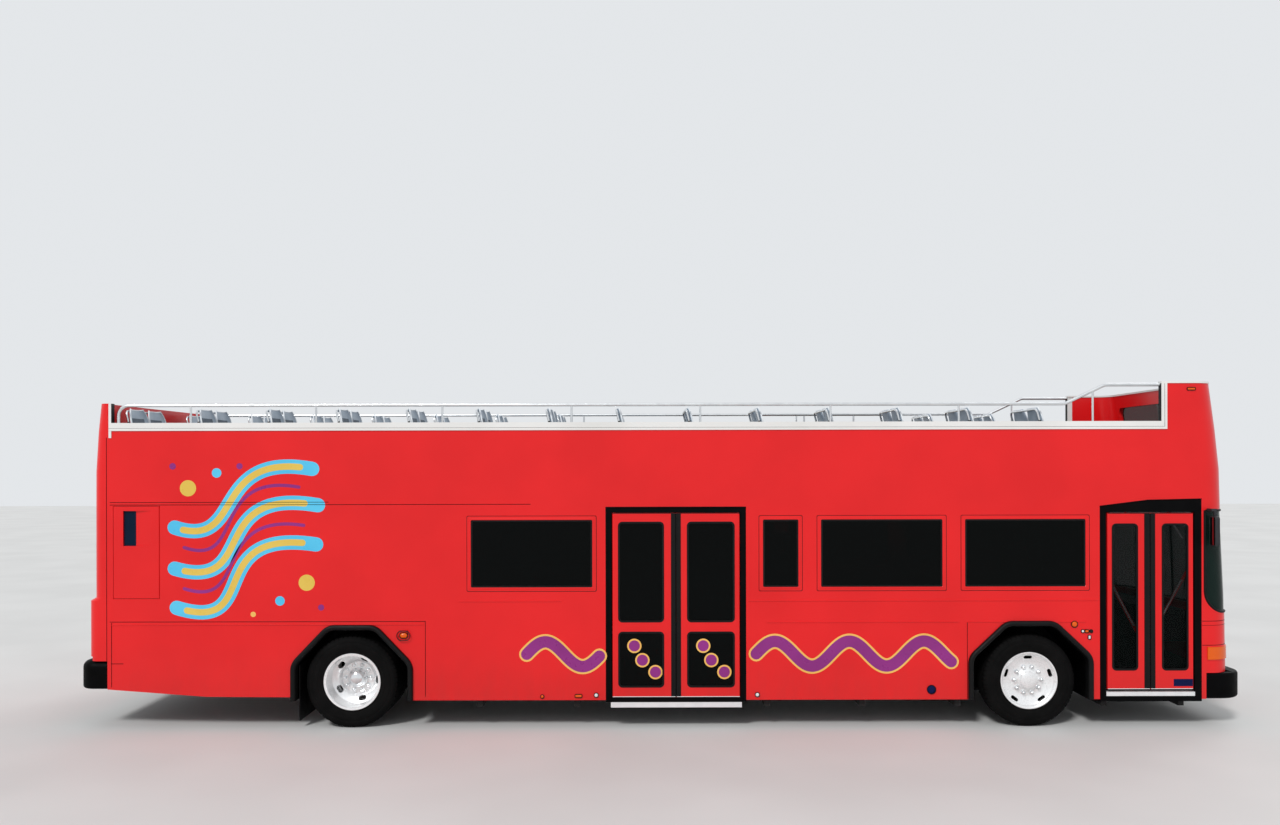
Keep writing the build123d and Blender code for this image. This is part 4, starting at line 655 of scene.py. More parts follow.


# Rain rails over the doors, black strips of painted shade on the cut ends of the upper walls, the lining of
# the deck walls, the scoop's blue panel, the patch on the front leaf and a black plate of painted shade
# behind its sill

trimSet = {
    "rainRadius": 0.005, "rainY": -1.298,
    "rain": [[(-0.594, 2.312), (0.876, 2.312)], [(4.575, 2.314), (5.075, 2.376), (5.64, 2.388)]],
    # x, first and last distance from the middle, bottom and top
    "ends": [((-5.759, -5.7572), (1.229, 1.2995), (3.2045, 3.406)),
             ((5.2192, 5.221), (1.237, 1.2995), (3.2045, 3.5985))],
    "scoop": {"x": (-5.653, -5.513), "z": (1.908, 2.281), "y": (-1.2745, -1.2715)},
    "patch": {"x": (5.346, 5.5475), "z": (0.43, 0.505)},
    # the black plate behind the front sill is painted shade in the recess under the leaf
    "sillShadePlate": {"x": (4.64, 5.565), "y": (-1.262, -1.2595), "z": (0.374, 0.395)},
    "lining": {"y": (1.229, 1.2345), "x": (-5.74, 5.2), "z": (2.362, 3.118)}}


def makeSmallTrim():
    t = trimSet
    rain = bmesh.new()
    for line in t["rain"]:
        addTube(rain, [(x, t["rainY"], z) for x, z in line], t["rainRadius"], 8)
    newPiece("rain_rails", rain, "frame_black", "bus", 50)
    ends, lining = bmesh.new(), bmesh.new()
    for side in (-1, 1):
        # black strips on the cut ends of the upper walls: painted shade, so the ends read as a shaded gap
        for x, y, z in t["ends"]:
            addBox(ends, x, sorted(side * v for v in y), z)
        k = t["lining"]
        addBox(lining, k["x"], sorted(side * v for v in k["y"]), k["z"])
    newPiece("wall_end_shade_strips", ends, "rubber_black", "bus")
    newPiece("deck_linings", lining, "deck_lining", "bus")
    s = t["scoop"]
    panel = bmesh.new()
    addPlate(panel, roundedLoop(*s["x"], *s["z"], 0.012, 4), s["y"][1], s["y"][0])
    newPiece("scoop_panel", panel, "scoop_blue", "access_hatch")
    patch = bmesh.new()
    addStrip(patch, roundedLoop(*t["patch"]["x"], *t["patch"]["z"], 0.004, 3), -bodyHalf, -1, 0.0008)
    newPiece("front_leaf_patch", patch, "patch_blue", "front_leaf_fore")
    # A black plate over the recessed face behind the front sill: painted shade in the recess under the leaf
    p = t["sillShadePlate"]
    plate = bmesh.new()
    addBox(plate, p["x"], p["y"], p["z"], 0.0008, 1)
    newPiece("front_sill_shade_plate", plate, "frame_black", "bus")


# Grab rails across the inside of the front door leaves

leafRailSet = {
    "radius": 0.009, "bend": 0.015, "y": -1.24, "leafInner": -1.259,
    # body and the ends of each rail as x, z
    "rails": [("front_leaf_aft", (4.74, 1.46), (4.95, 1.06)), ("front_leaf_fore", (5.45, 1.53), (5.225, 1.1)),
              ("front_leaf_fore", (5.37, 2.13), (5.46, 1.98))]}


def makeLeafRails():
    g = leafRailSet
    pieces = {}
    for body, (x0, z0), (x1, z1) in g["rails"]:
        bm = pieces.setdefault(body, bmesh.new())
        route = [(x0, g["leafInner"], z0), (x0, g["y"], z0), (x1, g["y"], z1), (x1, g["leafInner"], z1)]
        addTube(bm, bend(route, g["bend"], 4), g["radius"], 8)
    for body, bm in pieces.items():
        newPiece(f"{body}_rail", bm, "rail_steel", body, 50)


makeWindowTrim()
makeDoorTrim()
makeSideTrim()
makeCopingSteps()
makeArchRubbers()
makeLeafRails()
print("window, door and side trim ready")


# Tyres: ribbed sidewalls, four grooves round the tread and notches across its shoulders

tyreSet = {
    "outerY": 1.1275, "innerY": 0.8125, "pitches": 60, "notchStart": 0.468, "notchDeep": 0.007,
    "notchShares": (0.0, 0.76, 0.81, 0.95), "grooveDeep": 0.012, "grooves": (0.057, 0.016),
    "grooveHalf": 0.0035,
    # radius, distance from the tyre's middle
    "side": [(0.2863, 0.1095), (0.2985, 0.1105), (0.3045, 0.1235), (0.308, 0.1275), (0.314, 0.1285),
             (0.318, 0.1275), (0.33, 0.1325), (0.35, 0.1365), (0.3525, 0.1355), (0.3555, 0.137),
             (0.385, 0.1375), (0.408, 0.1373), (0.41, 0.1362), (0.414, 0.1362), (0.416, 0.137),
             (0.438, 0.1335), (0.4545, 0.1265), (0.4575, 0.1235), (0.468, 0.1195), (0.4755, 0.1125),
             (0.4805, 0.103), (0.482, 0.0925)]}


def tyreProfile():
    t = tyreSet
    crown = t["side"][-1][0]
    half = list(t["side"])
    for place in t["grooves"]:
        floorRadius = crown - t["grooveDeep"]
        half += [(crown, place + t["grooveHalf"] + 0.001), (floorRadius, place + t["grooveHalf"]),
                 (floorRadius, place - t["grooveHalf"]), (crown, place - t["grooveHalf"] - 0.001)]
    return half + [(r, -v) for r, v in reversed(half)]


def addTyre(bm, centre):
    t = tyreSet
    profile = tyreProfile()
    columns = [(pitch + share, index >= 2) for pitch in range(t["pitches"])
               for index, share in enumerate(t["notchShares"])]
    rings = []
    for turn, notched in columns:
        angle = 2 * math.pi * turn / t["pitches"]
        ring = []
        for radius, along in profile:
            onShoulder = radius > t["notchStart"] - 0.001 and abs(along) > t["grooves"][0] + 0.01
            r = radius - t["notchDeep"] if notched and onShoulder else radius
            ring.append(bm.verts.new((centre[0] + r * math.cos(angle), centre[1] + along,
                                      centre[2] + r * math.sin(angle))))
        rings.append(ring)
    for i, ring in enumerate(rings):
        after = rings[(i + 1) % len(rings)]
        for j in range(len(profile)):
            k = (j + 1) % len(profile)
            bm.faces.new((ring[j], after[j], after[k], ring[k]))


def makeTyres():
    t = tyreSet
    for label, side in reversed(sides):
        bm = bmesh.new()
        addTyre(bm, (frontAxleX, side * t["outerY"], axleZ))
        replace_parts(newPiece(f"front_tyre_tread_{label}", bm, "tyre_black", f"wheel_front_{label}"),
                    f"front_tyre_{label}")
        bm = bmesh.new()
        for y in (t["outerY"], t["innerY"]):
            addTyre(bm, (rearAxleX, side * y, axleZ))
        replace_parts(newPiece(f"rear_tyre_treads_{label}", bm, "tyre_black", f"wheels_rear_{label}"),
                    f"rear_tyres_{label}")


# Rims: turned steel wheels with their hand holes cut, then hubs and nut covers

wheelSet = {
    "outerY": 1.1275, "innerY": 0.8125, "segments": 128,
    "barrel": [(0.272, -0.122), (0.299, -0.122), (0.299, -0.112), (0.286, -0.112), (0.2865, -0.09),
               (0.278, -0.07), (0.278, 0.07), (0.2865, 0.09), (0.286, 0.112), (0.299, 0.112),
               (0.3, 0.118), (0.298, 0.1215), (0.292, 0.122), (0.283, 0.119)],
    "frontDish": [(0.272, 0.108), (0.264, 0.096), (0.25, 0.0885), (0.232, 0.083), (0.2, 0.0725),
                  (0.178, 0.0668), (0.168, 0.066), (0.128, 0.066), (0.121, 0.069)],
    "frontHub": [(0.118, 0.0695), (0.113, 0.074), (0.11, 0.084), (0.1, 0.088), (0.094, 0.09), (0.089, 0.112),
                 (0.084, 0.119), (0.074, 0.123), (0.045, 0.1265), (0.02, 0.128), (0.0, 0.128),
                 (0.0, 0.082), (0.0403, 0.082), (0.0403, -0.045), (0.105, -0.045), (0.105, 0.05)],
    "frontBack": [(0.175, 0.052), (0.23, 0.068), (0.262, 0.078), (0.268, 0.06)],
    "rearDisc": [(0.274, 0.119), (0.2715, 0.112), (0.27, 0.09), (0.268, -0.05), (0.262, -0.068),
                 (0.24, -0.082), (0.215, -0.092), (0.19, -0.118), (0.1735, -0.136), (0.168, -0.1425),
                 (0.1, -0.1425), (0.1, -0.1575), (0.172, -0.1575), (0.18, -0.148), (0.222, -0.106),
                 (0.262, -0.096), (0.268, -0.09)],
    "rearHub": [(0.0605, -0.24), (0.105, -0.24), (0.105, 0.03), (0.103, 0.04), (0.098, 0.047), (0.094, 0.05),
                (0.0935, 0.075), (0.091, 0.09), (0.085, 0.103), (0.075, 0.115), (0.06, 0.125), (0.04, 0.132),
                (0.02, 0.1355), (0.0, 0.136), (0.0, 0.1), (0.0605, 0.1), (0.0605, -0.24)],
    # count, length, width, distance from the axle and first angle of the hand holes, and how deep they cut
    "frontHoles": (5, 0.088, 0.036, 0.24, 90), "frontCut": (0.04, 0.12),
    "rearHoles": (5, 0.085, 0.05, 0.219, 212.4), "rearCut": (-0.02, -0.145),
    # count and radius of the nuts, and their seats from the tyre's middle
    "nuts": (10, 0.143), "rearNuts": (10, 0.14), "nutSeats": (0.066, -0.1435),
    "nutCover": [(0.0, -0.001), (0.0245, -0.001), (0.0245, 0.004), (0.0175, 0.0065), (0.0165, 0.03),
                 (0.0145, 0.0375), (0.009, 0.042), (0.0, 0.0435)]}


def slotCutter(bm, centre, length, width, angle, radius, y0, y1, steps=12):
    # A prism with round ends, its long side square to the wheel's radius
    loop = []
    for sign in (1, -1):
        for step in range(steps + 1):
            turn = math.pi * (step / steps - 0.5 * sign)
            along = sign * (length - width) / 2 + width / 2 * math.cos(turn)
            across = width / 2 * math.sin(turn)
            loop.append((across, along))
    c, s = math.cos(angle), math.sin(angle)
    points = [(centre[0] + (radius + a) * c - b * s, centre[2] + (radius + a) * s + b * c) for a, b in loop]
    addPlate(bm, points, y0, y1)


def cutBy(bm, cutter):
    solid, tool = asObject(bm), asObject(cutter)
    modifier = solid.modifiers.new("holes", "BOOLEAN")
    modifier.operation = "DIFFERENCE"
    modifier.solver = "EXACT"
    modifier.object = tool
    result = asBmesh(evaluated(solid))
    bpy.data.objects.remove(tool)
    return result


def cutHoles(bm, holes, centre, y0, y1):
    count, length, width, radius, first = holes
    cutter = bmesh.new()
    for step in range(count):
        slotCutter(cutter, centre, length, width, math.radians(first) + 2 * math.pi * step / count, radius,
                   y0, y1)
    return cutBy(bm, cutter)


def holedRim(profile, holes, centre, side, depths):
    # A turned rim whose hand holes are cut between two distances from its middle
    bm = bmesh.new()
    addTurned(bm, profile + [profile[0]], centre, "Y", wheelSet["segments"], side)
    weld(bm)
    return cutHoles(bm, holes, centre, *sorted(centre[1] + side * depth for depth in depths))


def makeFrontRims():
    w = wheelSet
    profile = w["barrel"] + w["frontDish"] + w["frontHub"] + w["frontBack"]
    for label, side in reversed(sides):
        centre = (frontAxleX, side * w["outerY"], axleZ)
        holed = holedRim(profile, w["frontHoles"], centre, side, w["frontCut"])
        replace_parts(newPiece(f"front_wheel_{label}", holed, "rim_steel", f"wheel_front_{label}", 28),
                    f"front_rim_{label}")


def makeRearRims():
    w = wheelSet
    for label, side in reversed(sides):
        whole = bmesh.new()
        for y, turned in ((w["outerY"], side), (w["innerY"], -side)):
            centre = (rearAxleX, side * y, axleZ)
            holed = holedRim(w["barrel"] + w["rearDisc"], w["rearHoles"], centre, turned, w["rearCut"])
            mesh = meshOf(holed, "rim")
            whole.from_mesh(mesh)
            bpy.data.meshes.remove(mesh)
        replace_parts(newPiece(f"rear_wheels_{label}", whole, "rim_steel", f"wheels_rear_{label}", 28),
                    f"rear_rims_{label}")
        cap = bmesh.new()
        middle = (w["outerY"] + w["innerY"]) / 2
        addTurned(cap, w["rearHub"], (rearAxleX, side * middle, axleZ), "Y", 64, side)
        weld(cap)
        newPiece(f"rear_hubs_{label}", cap, "hub_chrome", f"wheels_rear_{label}", 28)


def makeNutCovers():
    # Plated covers on the wheel nuts, ten to a wheel
    w = wheelSet
    rows = [("front", frontAxleX, w["nutSeats"][0], w["nuts"], "wheel_front"),
            ("rear", rearAxleX, w["nutSeats"][1], w["rearNuts"], "wheels_rear")]
    for name, x, seat, (count, radius), bodyStem in rows:
        for label, side in reversed(sides):
            cover = bmesh.new()
            addTurned(cover, w["nutCover"], (0, 0, 0), "Z", 16, 1)
            mesh = copiesOf(cover, wheelNodes,
                            {"Count": count, "Radius": radius, "Centre": (x, 0.0, axleZ)}, "hub_chrome")
            for vert in mesh.vertices:
                vert.co.y = side * (w["outerY"] + seat - vert.co.y)
            newPiece(f"{name}_nut_covers_{label}", asBmesh(mesh), "hub_chrome", f"{bodyStem}_{label}")


makeTyres()
makeFrontRims()
makeRearRims()
makeNutCovers()
print("tyres and rims ready")


# Seats: moulded double seats with pale rolled edges on tube frames

seatSet = {
    "shellWide": 0.415, "shellGap": 0.02, "thick": 0.011, "edgeRadius": 0.0085, "rows": 22, "columns": 12,
    "dish": 0.026, "cornerShare": 0.16, "cornerPower": 2.6, "inlayRows": ((2, 8), (12, 20)),
    "inlayProud": 0.004, "legTube": 0.014, "crossHigh": 0.372, "crossAlong": 0.12, "legSpread": 1.15,
    "footPlate": (0.175, 0.07, 0.009), "frontOfMiddle": 0.225, "top": 1.01, "doubleFrom": 0.7,
    # x from the seat's middle and height above the floor of the back's upright and of the grab rail
    "upright": [(-0.12, 0.372), (-0.232, 0.39), (-0.332, 0.86)],
    "grabRail": [(-0.322, 0.82), (-0.362, 0.975)],
    # x forward of the seat's middle, height above its floor
    "line": [(0.222, 0.362), (0.214, 0.398), (0.18, 0.416), (0.11, 0.414), (0.02, 0.402), (-0.08, 0.393),
             (-0.155, 0.396), (-0.205, 0.424), (-0.232, 0.48), (-0.25, 0.56), (-0.272, 0.68), (-0.297, 0.8),
             (-0.325, 0.93), (-0.346, 0.993)]}


def smoothLine(points, count):
    # Even points along the rounded route through a few given ones
    route = bend([(x, 0, z) for x, z in points], 0.2, 6)
    lengths = [0.0]
    for a, b in zip(route, route[1:]):
        lengths.append(lengths[-1] + (b - a).length)
    even = []
    for step in range(count + 1):
        target = lengths[-1] * step / count
        index = max(i for i, length in enumerate(lengths[:-1]) if length <= target + 1e-9)
        share = (target - lengths[index]) / (lengths[index + 1] - lengths[index])
        point = route[index].lerp(route[index + 1], share)
        even.append((point.x, point.z))
    return even


def shellGrid(wide):
    # The shell's upper surface: rows along the line, columns across, edges turned up and corners rounded
    s = seatSet
    line = smoothLine(s["line"], s["rows"])
    grid = []
    for row, (x, z) in enumerate(line):
        before, after = line[max(row - 1, 0)], line[min(row + 1, len(line) - 1)]
        run = Vector((after[0] - before[0], 0, after[1] - before[1])).normalized()
        normal = Vector((run.z, 0, -run.x))
        share = row / s["rows"]
        ends = max(0.0, 1 - min(share, 1 - share) / s["cornerShare"])
        half = wide / 2 * (1 - 0.3 * ends ** s["cornerPower"])
        cells = []
        for column in range(s["columns"] + 1):
            v = 2 * column / s["columns"] - 1
            rise = s["dish"] * (abs(v) ** 4 - 0.3)
            cells.append((Vector((x, v * half, z)) + normal * rise, normal))
        grid.append(cells)
    return grid


def rimOf(rows, columns):
    # The steps round the edge of a grid
    return ([(0, j) for j in range(columns)] + [(i, columns) for i in range(rows)]
            + [(rows, j) for j in range(columns, 0, -1)] + [(i, 0) for i in range(rows, 0, -1)])


def addSheet(bm, front, back):
    # Closes two equal grids of points into one thin solid
    a = [[bm.verts.new(p) for p in row] for row in front]
    b = [[bm.verts.new(p) for p in row] for row in back]
    rows, columns = len(a) - 1, len(a[0]) - 1
    for i in range(rows):
        for j in range(columns):
            bm.faces.new((a[i][j], a[i][j + 1], a[i + 1][j + 1], a[i + 1][j]))
            bm.faces.new((b[i][j], b[i + 1][j], b[i + 1][j + 1], b[i][j + 1]))
    rim = rimOf(rows, columns)
    for (i, j), (k, m) in zip(rim, rim[1:] + rim[:1]):
        bm.faces.new((a[i][j], a[k][m], b[k][m], b[i][j]))


def addShell(shell, edge, inlay, x, y, floorZ, wide):
    s = seatSet
    at = Vector((x, y, floorZ))
    grid = shellGrid(wide)
    front = [[at + p for p, n in row] for row in grid]
    back = [[at + p - n * s["thick"] for p, n in row] for row in grid]
    addSheet(shell, front, back)
    rim = rimOf(s["rows"], s["columns"])
    addTube(edge, [(front[i][j] + back[i][j]) / 2 for i, j in rim], s["edgeRadius"], 6, True)
    for first, last in s["inlayRows"]:
        upper, lower = ([[at + p + n * lift for p, n in row[2:-2]] for row in grid[first:last + 1]]
                        for lift in (s["inlayProud"], -s["inlayProud"]))
        addSheet(inlay, upper, lower)


def addSeatFrame(frameBm, railBm, x, y, floorZ, wide):
    # Two cross tubes under the shells, a splayed pair of legs on a foot plate and a grab rail on the back
    s = seatSet
    r = s["legTube"]
    half = wide / 2 - 0.03
    cross = floorZ + s["crossHigh"]
    for along in (-s["crossAlong"], s["crossAlong"]):
        addTube(frameBm, [(x + along, y - half, cross), (x + along, y + half, cross)], r, 8)
        for sign in (-1, 1):
            addTube(frameBm, [(x + along, y + sign * 0.045, cross - 0.002),
                              (x + along * s["legSpread"], y + sign * 0.045, floorZ + 0.006)], r, 8)
    long, broad, thick = s["footPlate"]
    addBox(frameBm, (x - long, x + long), (y - broad, y + broad), (floorZ, floorZ + thick), 0.002)
    for sign in (-1, 1):
        side = y + sign * (half + 0.005)
        addTube(frameBm, bend([(x + a, side, floorZ + b) for a, b in s["upright"]], 0.05), r * 0.9, 8)
    backRail = [(x + a, y - half, floorZ + b) for a, b in s["grabRail"]]
    backRail += [(a, y + half, c) for a, b, c in reversed(backRail)]
    addTube(railBm, bend(backRail, 0.05), r * 0.8, 8)


def seatPlaces(node):
    # Where the CAD seats stand: middle x and y, floor height and width, from the loose parts of the node
    s = seatSet
    bm = bmesh.new()
    bm.from_mesh(nodes[node].data)
    weld(bm, 1e-5)
    seen, places = set(), []
    for vert in bm.verts:
        if vert in seen:
            continue
        stack, group = [vert], []
        seen.add(vert)
        while stack:
            here = stack.pop()
            group.append(here.co.copy())
            for e in here.link_edges:
                other = e.other_vert(here)
                if other not in seen:
                    seen.add(other)
                    stack.append(other)
        ys, zs = ([p[k] for p in group] for k in (1, 2))
        front = max(p.x for p in group if p.z > min(zs) + 0.3)
        places.append((front - s["frontOfMiddle"], (min(ys) + max(ys)) / 2, max(zs) - s["top"],
                       max(ys) - min(ys)))
    bm.free()
    return sorted(places)


def makeSeats():
    s = seatSet
    for name, node in (("upper", "upper_seats"), ("lower", "lower_seats")):
        shell, edge, inlay, tubes, backRails = (bmesh.new() for _ in range(5))
        for x, y, floorZ, wide in seatPlaces(node):
            if node == "lower_seats" and x > cabSet["firstX"]:
                continue  # the driver's seat is made by makeCab
            double = wide > s["doubleFrom"]
            shellWide = s["shellWide"] if double else wide
            shift = (shellWide + s["shellGap"]) / 2 if double else 0
            for sign in ((-1, 1) if double else (0,)):
                addShell(shell, edge, inlay, x, y + sign * shift, floorZ, shellWide)
            addSeatFrame(tubes, backRails, x, y, floorZ, wide)
        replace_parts(newPiece(f"{name}_seat_shells", shell, "seat_blue", "bus", 50), node)
        newPiece(f"{name}_seat_edges", edge, "seat_edge", "bus", 50)
        newPiece(f"{name}_seat_inlays", inlay, "seat_inlay", "bus", 50)
        newPiece(f"{name}_seat_frames", tubes, "chassis_grey", "bus", 50)
        newPiece(f"{name}_seat_grab_rails", backRails, "rail_steel", "bus", 50)


# Driver's place: a sprung seat with two padded cushions on its step, pedals and dials

cabSet = {
    "firstX": 4.5, "x": 4.9, "y": 0.78, "step": ((4.65, 5.2), (0.5, 1.06), (0.345, 0.425)),
    # size, middle, tilt in degrees and how far the cloth may swell
    "seatPad": ((0.43, 0.44, 0.075), (4.925, 0.78, 0.822), -4, 0.012),
    "backPad": ((0.075, 0.42, 0.52), (4.672, 0.78, 1.155), -12, 0.012),
    "voxel": 0.0065, "pressure": 4.0, "frames": 20, "bevel": 0.028, "fill": 0.6,
    # boxes of the pan under and behind the cushions, from the seat's x and y, with their bevels
    "pans": [((-0.2, 0.22), 0.2, (0.755, 0.782), 0.01), ((-0.272, -0.25), 0.17, (0.86, 1.32), 0.008)],
    "bracket": {"y": 0.16, "radius": 0.012, "line": [(-0.18, 0.77), (-0.262, 0.8), (-0.262, 1.2)]},
    # folds and waists of the bellows: x, half width, lower and upper share of the pitch
    "bellows": {"count": 7, "top": 0.745, "fold": ((-0.15, 0.16), 0.15, 0.0, 0.62),
                "waist": ((-0.135, 0.145), 0.135, 0.6, 1.02)},
    # how far across and radius of each dial
    "dash": {"x": 5.476, "y": 0.78, "z": 1.055}, "dials": [(0.0, 0.045), (-0.11, 0.034), (0.11, 0.034)],
    # how far across and height of each pedal, its box and its lever
    "pedals": [(-0.08, 0.2), (0.1, 0.16)], "pedalX": (5.36, 5.385), "pedalHalf": 0.04, "pedalFoot": 0.42,
    "lever": [(5.378, 0.46), (5.56, 0.36)], "leverRadius": 0.011}


def makePad(name, size, place, tilt, cap, slot):
    # A cushion: a rounded block that cloth pressure swells, held within a few millimetres of where it began
    c = cabSet
    bm = bmesh.new()
    addBox(bm, *[(-s / 2, s / 2) for s in size], c["bevel"], 4)
    pad = asObject(bm)
    remesh = pad.modifiers.new("remesh", "REMESH")
    remesh.mode = "VOXEL"
    remesh.voxel_size = c["voxel"]
    base = evaluated(pad)
    start = [v.co.copy() for v in base.vertices]
    pad = bpy.data.objects.new("swelling", base)
    scene.collection.objects.link(pad)
    cloth = pad.modifiers.new("cloth", "CLOTH")
    cloth.settings.use_pressure = True
    cloth.settings.uniform_pressure_force = c["pressure"]
    cloth.settings.effector_weights.gravity = 0
    for step in range(1, c["frames"] + 1):
        scene.frame_set(step)
    swollen = evaluated(pad)
    scene.frame_set(1)
    for vert, home in zip(swollen.vertices, start):
        move = vert.co - home
        if move.length > cap:
            vert.co = home + move * (cap / move.length)
    base = swollen
    turn = Matrix.Translation(place) @ Matrix.Rotation(math.radians(tilt), 4, "Y")
    base.transform(turn)
    base.materials.clear()
    for face in base.polygons:
        face.use_smooth = True
    rough = bpy.data.objects.new(name, base)
    scene.collection.objects.link(rough)
    smooth = rough.modifiers.new("smooth", "SUBSURF")
    smooth.levels = smooth.render_levels = 1
    finished = evaluated(rough)
    piece = finishPiece(bpy.data.objects.new(name, finished), slot, "bus")


def makeCab():
    c = cabSet
    step = bmesh.new()
    addBox(step, *c["step"], 0.006)
    newPiece("driver_step", step, "floor_grey", "bus")
    makePad("driver_seat_cushion", *c["seatPad"], "driver_cloth")
    makePad("driver_back_cushion", *c["backPad"], "driver_cloth")
    x, y, top = c["x"], c["y"], c["step"][2][1]
    pan = bmesh.new()
    for (x0, x1), half, z, bevel in c["pans"]:
        addBox(pan, (x + x0, x + x1), (y - half, y + half), z, bevel)
    b = c["bracket"]
    for sign in (-1, 1):
        addTube(pan, bend([(x + a, y + sign * b["y"], z) for a, z in b["line"]], 0.04), b["radius"], 8)
    newPiece("driver_seat_pan", pan, "trim_grey", "bus")
    b = c["bellows"]
    fold = bmesh.new()
    pitch = (b["top"] - top) / b["count"]
    foot = top + 0.012
    for ((x0, x1), half, low, high), bevel in ((b["fold"], 0.008), (b["waist"], 0.0)):
        addBox(fold, (x + x0, x + x1), (y - half, y + half), (foot + pitch * low, foot + pitch * high), bevel)
    mesh = copiesOf(fold, rowNodes, {"Count": b["count"], "Pitch": (0.0, 0.0, pitch)}, "rubber_black")
    newPiece("driver_seat_bellows", asBmesh(mesh), "rubber_black", "bus")
    d = c["dash"]
    faces, rims = bmesh.new(), bmesh.new()
    for across, radius in c["dials"]:
        centre = (d["x"], d["y"] + across, d["z"])
        outer = radius + 0.006
        addTurned(faces, [(0.0, 0.006), (radius, 0.006), (radius, 0.0), (0.0, 0.0)], centre, "X", 32, -1)
        addTurned(rims, [(radius, 0.0), (outer, 0.0), (outer, 0.009), (radius, 0.011), (radius, 0.0)],
                  centre, "X", 32, -1)
    weld(rims)
    newPiece("dash_dials", faces, "lamp_white", "bus")
    newPiece("dash_dial_rims", rims, "bezel_chrome", "bus")
    pedals = bmesh.new()
    for across, high in c["pedals"]:
        middle, half, foot = d["y"] + across, c["pedalHalf"], c["pedalFoot"]
        addBox(pedals, c["pedalX"], (middle - half, middle + half), (foot, foot + high), 0.004)
        addTube(pedals, [(a, middle, z) for a, z in c["lever"]], c["leverRadius"], 8)
    newPiece("pedals", pedals, "rubber_black", "bus")


makeCab()
makeSeats()
print("driver's place and seats ready")


# Livery films: curved streamers over the rear of each side, waves along the skirt, dots on the door panes

liverySet = {
    "blueProud": 0.0007, "coreProud": 0.0011, "blueWide": 0.075, "coreWide": 0.034,
    # start, two guides and end of each streamer, as x and z
    "streamers": [((-5.08, 1.27), (-4.15, 0.98), (-4.85, 2.12), (-3.62, 1.93)),
                  ((-5.1, 1.68), (-4.2, 1.42), (-4.8, 2.55), (-3.6, 2.34)),
                  ((-5.1, 2.11), (-4.35, 1.86), (-4.75, 2.92), (-3.66, 2.72))],
    "purple": [((-5.0, 1.47), (-4.3, 1.24), (-4.75, 2.28), (-3.75, 2.13)),
               ((-5.0, 1.9), (-4.35, 1.68), (-4.75, 2.7), (-3.8, 2.53))],
    "purpleWide": 0.017,
    # x, z and radius, and the film
    "dots": [(-4.96, 2.52, 0.085, "film_yellow"), (-4.66, 2.68, 0.05, "film_blue"),
             (-3.72, 1.53, 0.085, "film_yellow"), (-4.0, 1.34, 0.05, "film_blue"),
             (-4.42, 2.75, 0.032, "film_purple"), (-3.57, 1.27, 0.032, "film_purple"),
             (-5.12, 2.75, 0.034, "film_purple"), (-4.28, 1.2, 0.028, "film_orange")],
    "bands": [(-1.42, -0.66), (0.98, 3.02)],
    "bandMiddle": 0.777, "bandSwing": 0.13, "bandWave": 0.78, "bandWide": 0.06, "bandRim": 0.02,
    "bandStep": 0.012,
    # across from the pane's middle, and height
    "paneDots": [(0.1365, 0.585), (0.0, 0.71), (-0.084, 0.86)], "paneDotRadius": (0.058, 0.075),
    "panes": [("mid_leaf_aft", -0.2105), ("mid_leaf_fore", 0.511)], "paneY": -1.281}


def bezier(points, count=48):
    a, b, c, d = (Vector(p) for p in points)
    return [a * (1 - t) ** 3 + b * 3 * t * (1 - t) ** 2 + c * 3 * t * t * (1 - t) + d * t ** 3
            for t in (step / count for step in range(count + 1))]


def ribbonLoop(line, half):
    # The outline of a ribbon with round ends along a route in the side plane
    left, right = [], []
    for i, point in enumerate(line):
        run = (line[min(i + 1, len(line) - 1)] - line[max(i - 1, 0)]).normalized()
        across = Vector((-run.y, run.x)) * half
        left.append(point + across)
        right.append(point - across)
    ends = []
    for tip, near in ((line[-1], line[-2]), (line[0], line[1])):
        run = (tip - near).normalized()
        arc = []
        for step in range(1, 8):
            angle = math.pi / 2 - math.pi * step / 8
            arc.append(tip + run * half * math.cos(angle) + Vector((-run.y, run.x)) * half * math.sin(angle))
        ends.append(arc)
    return left + ends[0] + list(reversed(right)) + ends[1]


def circleLoop(x, z, radius, steps=40):
    return [(x + radius * math.cos(2 * math.pi * i / steps), z + radius * math.sin(2 * math.pi * i / steps))
            for i in range(steps)]


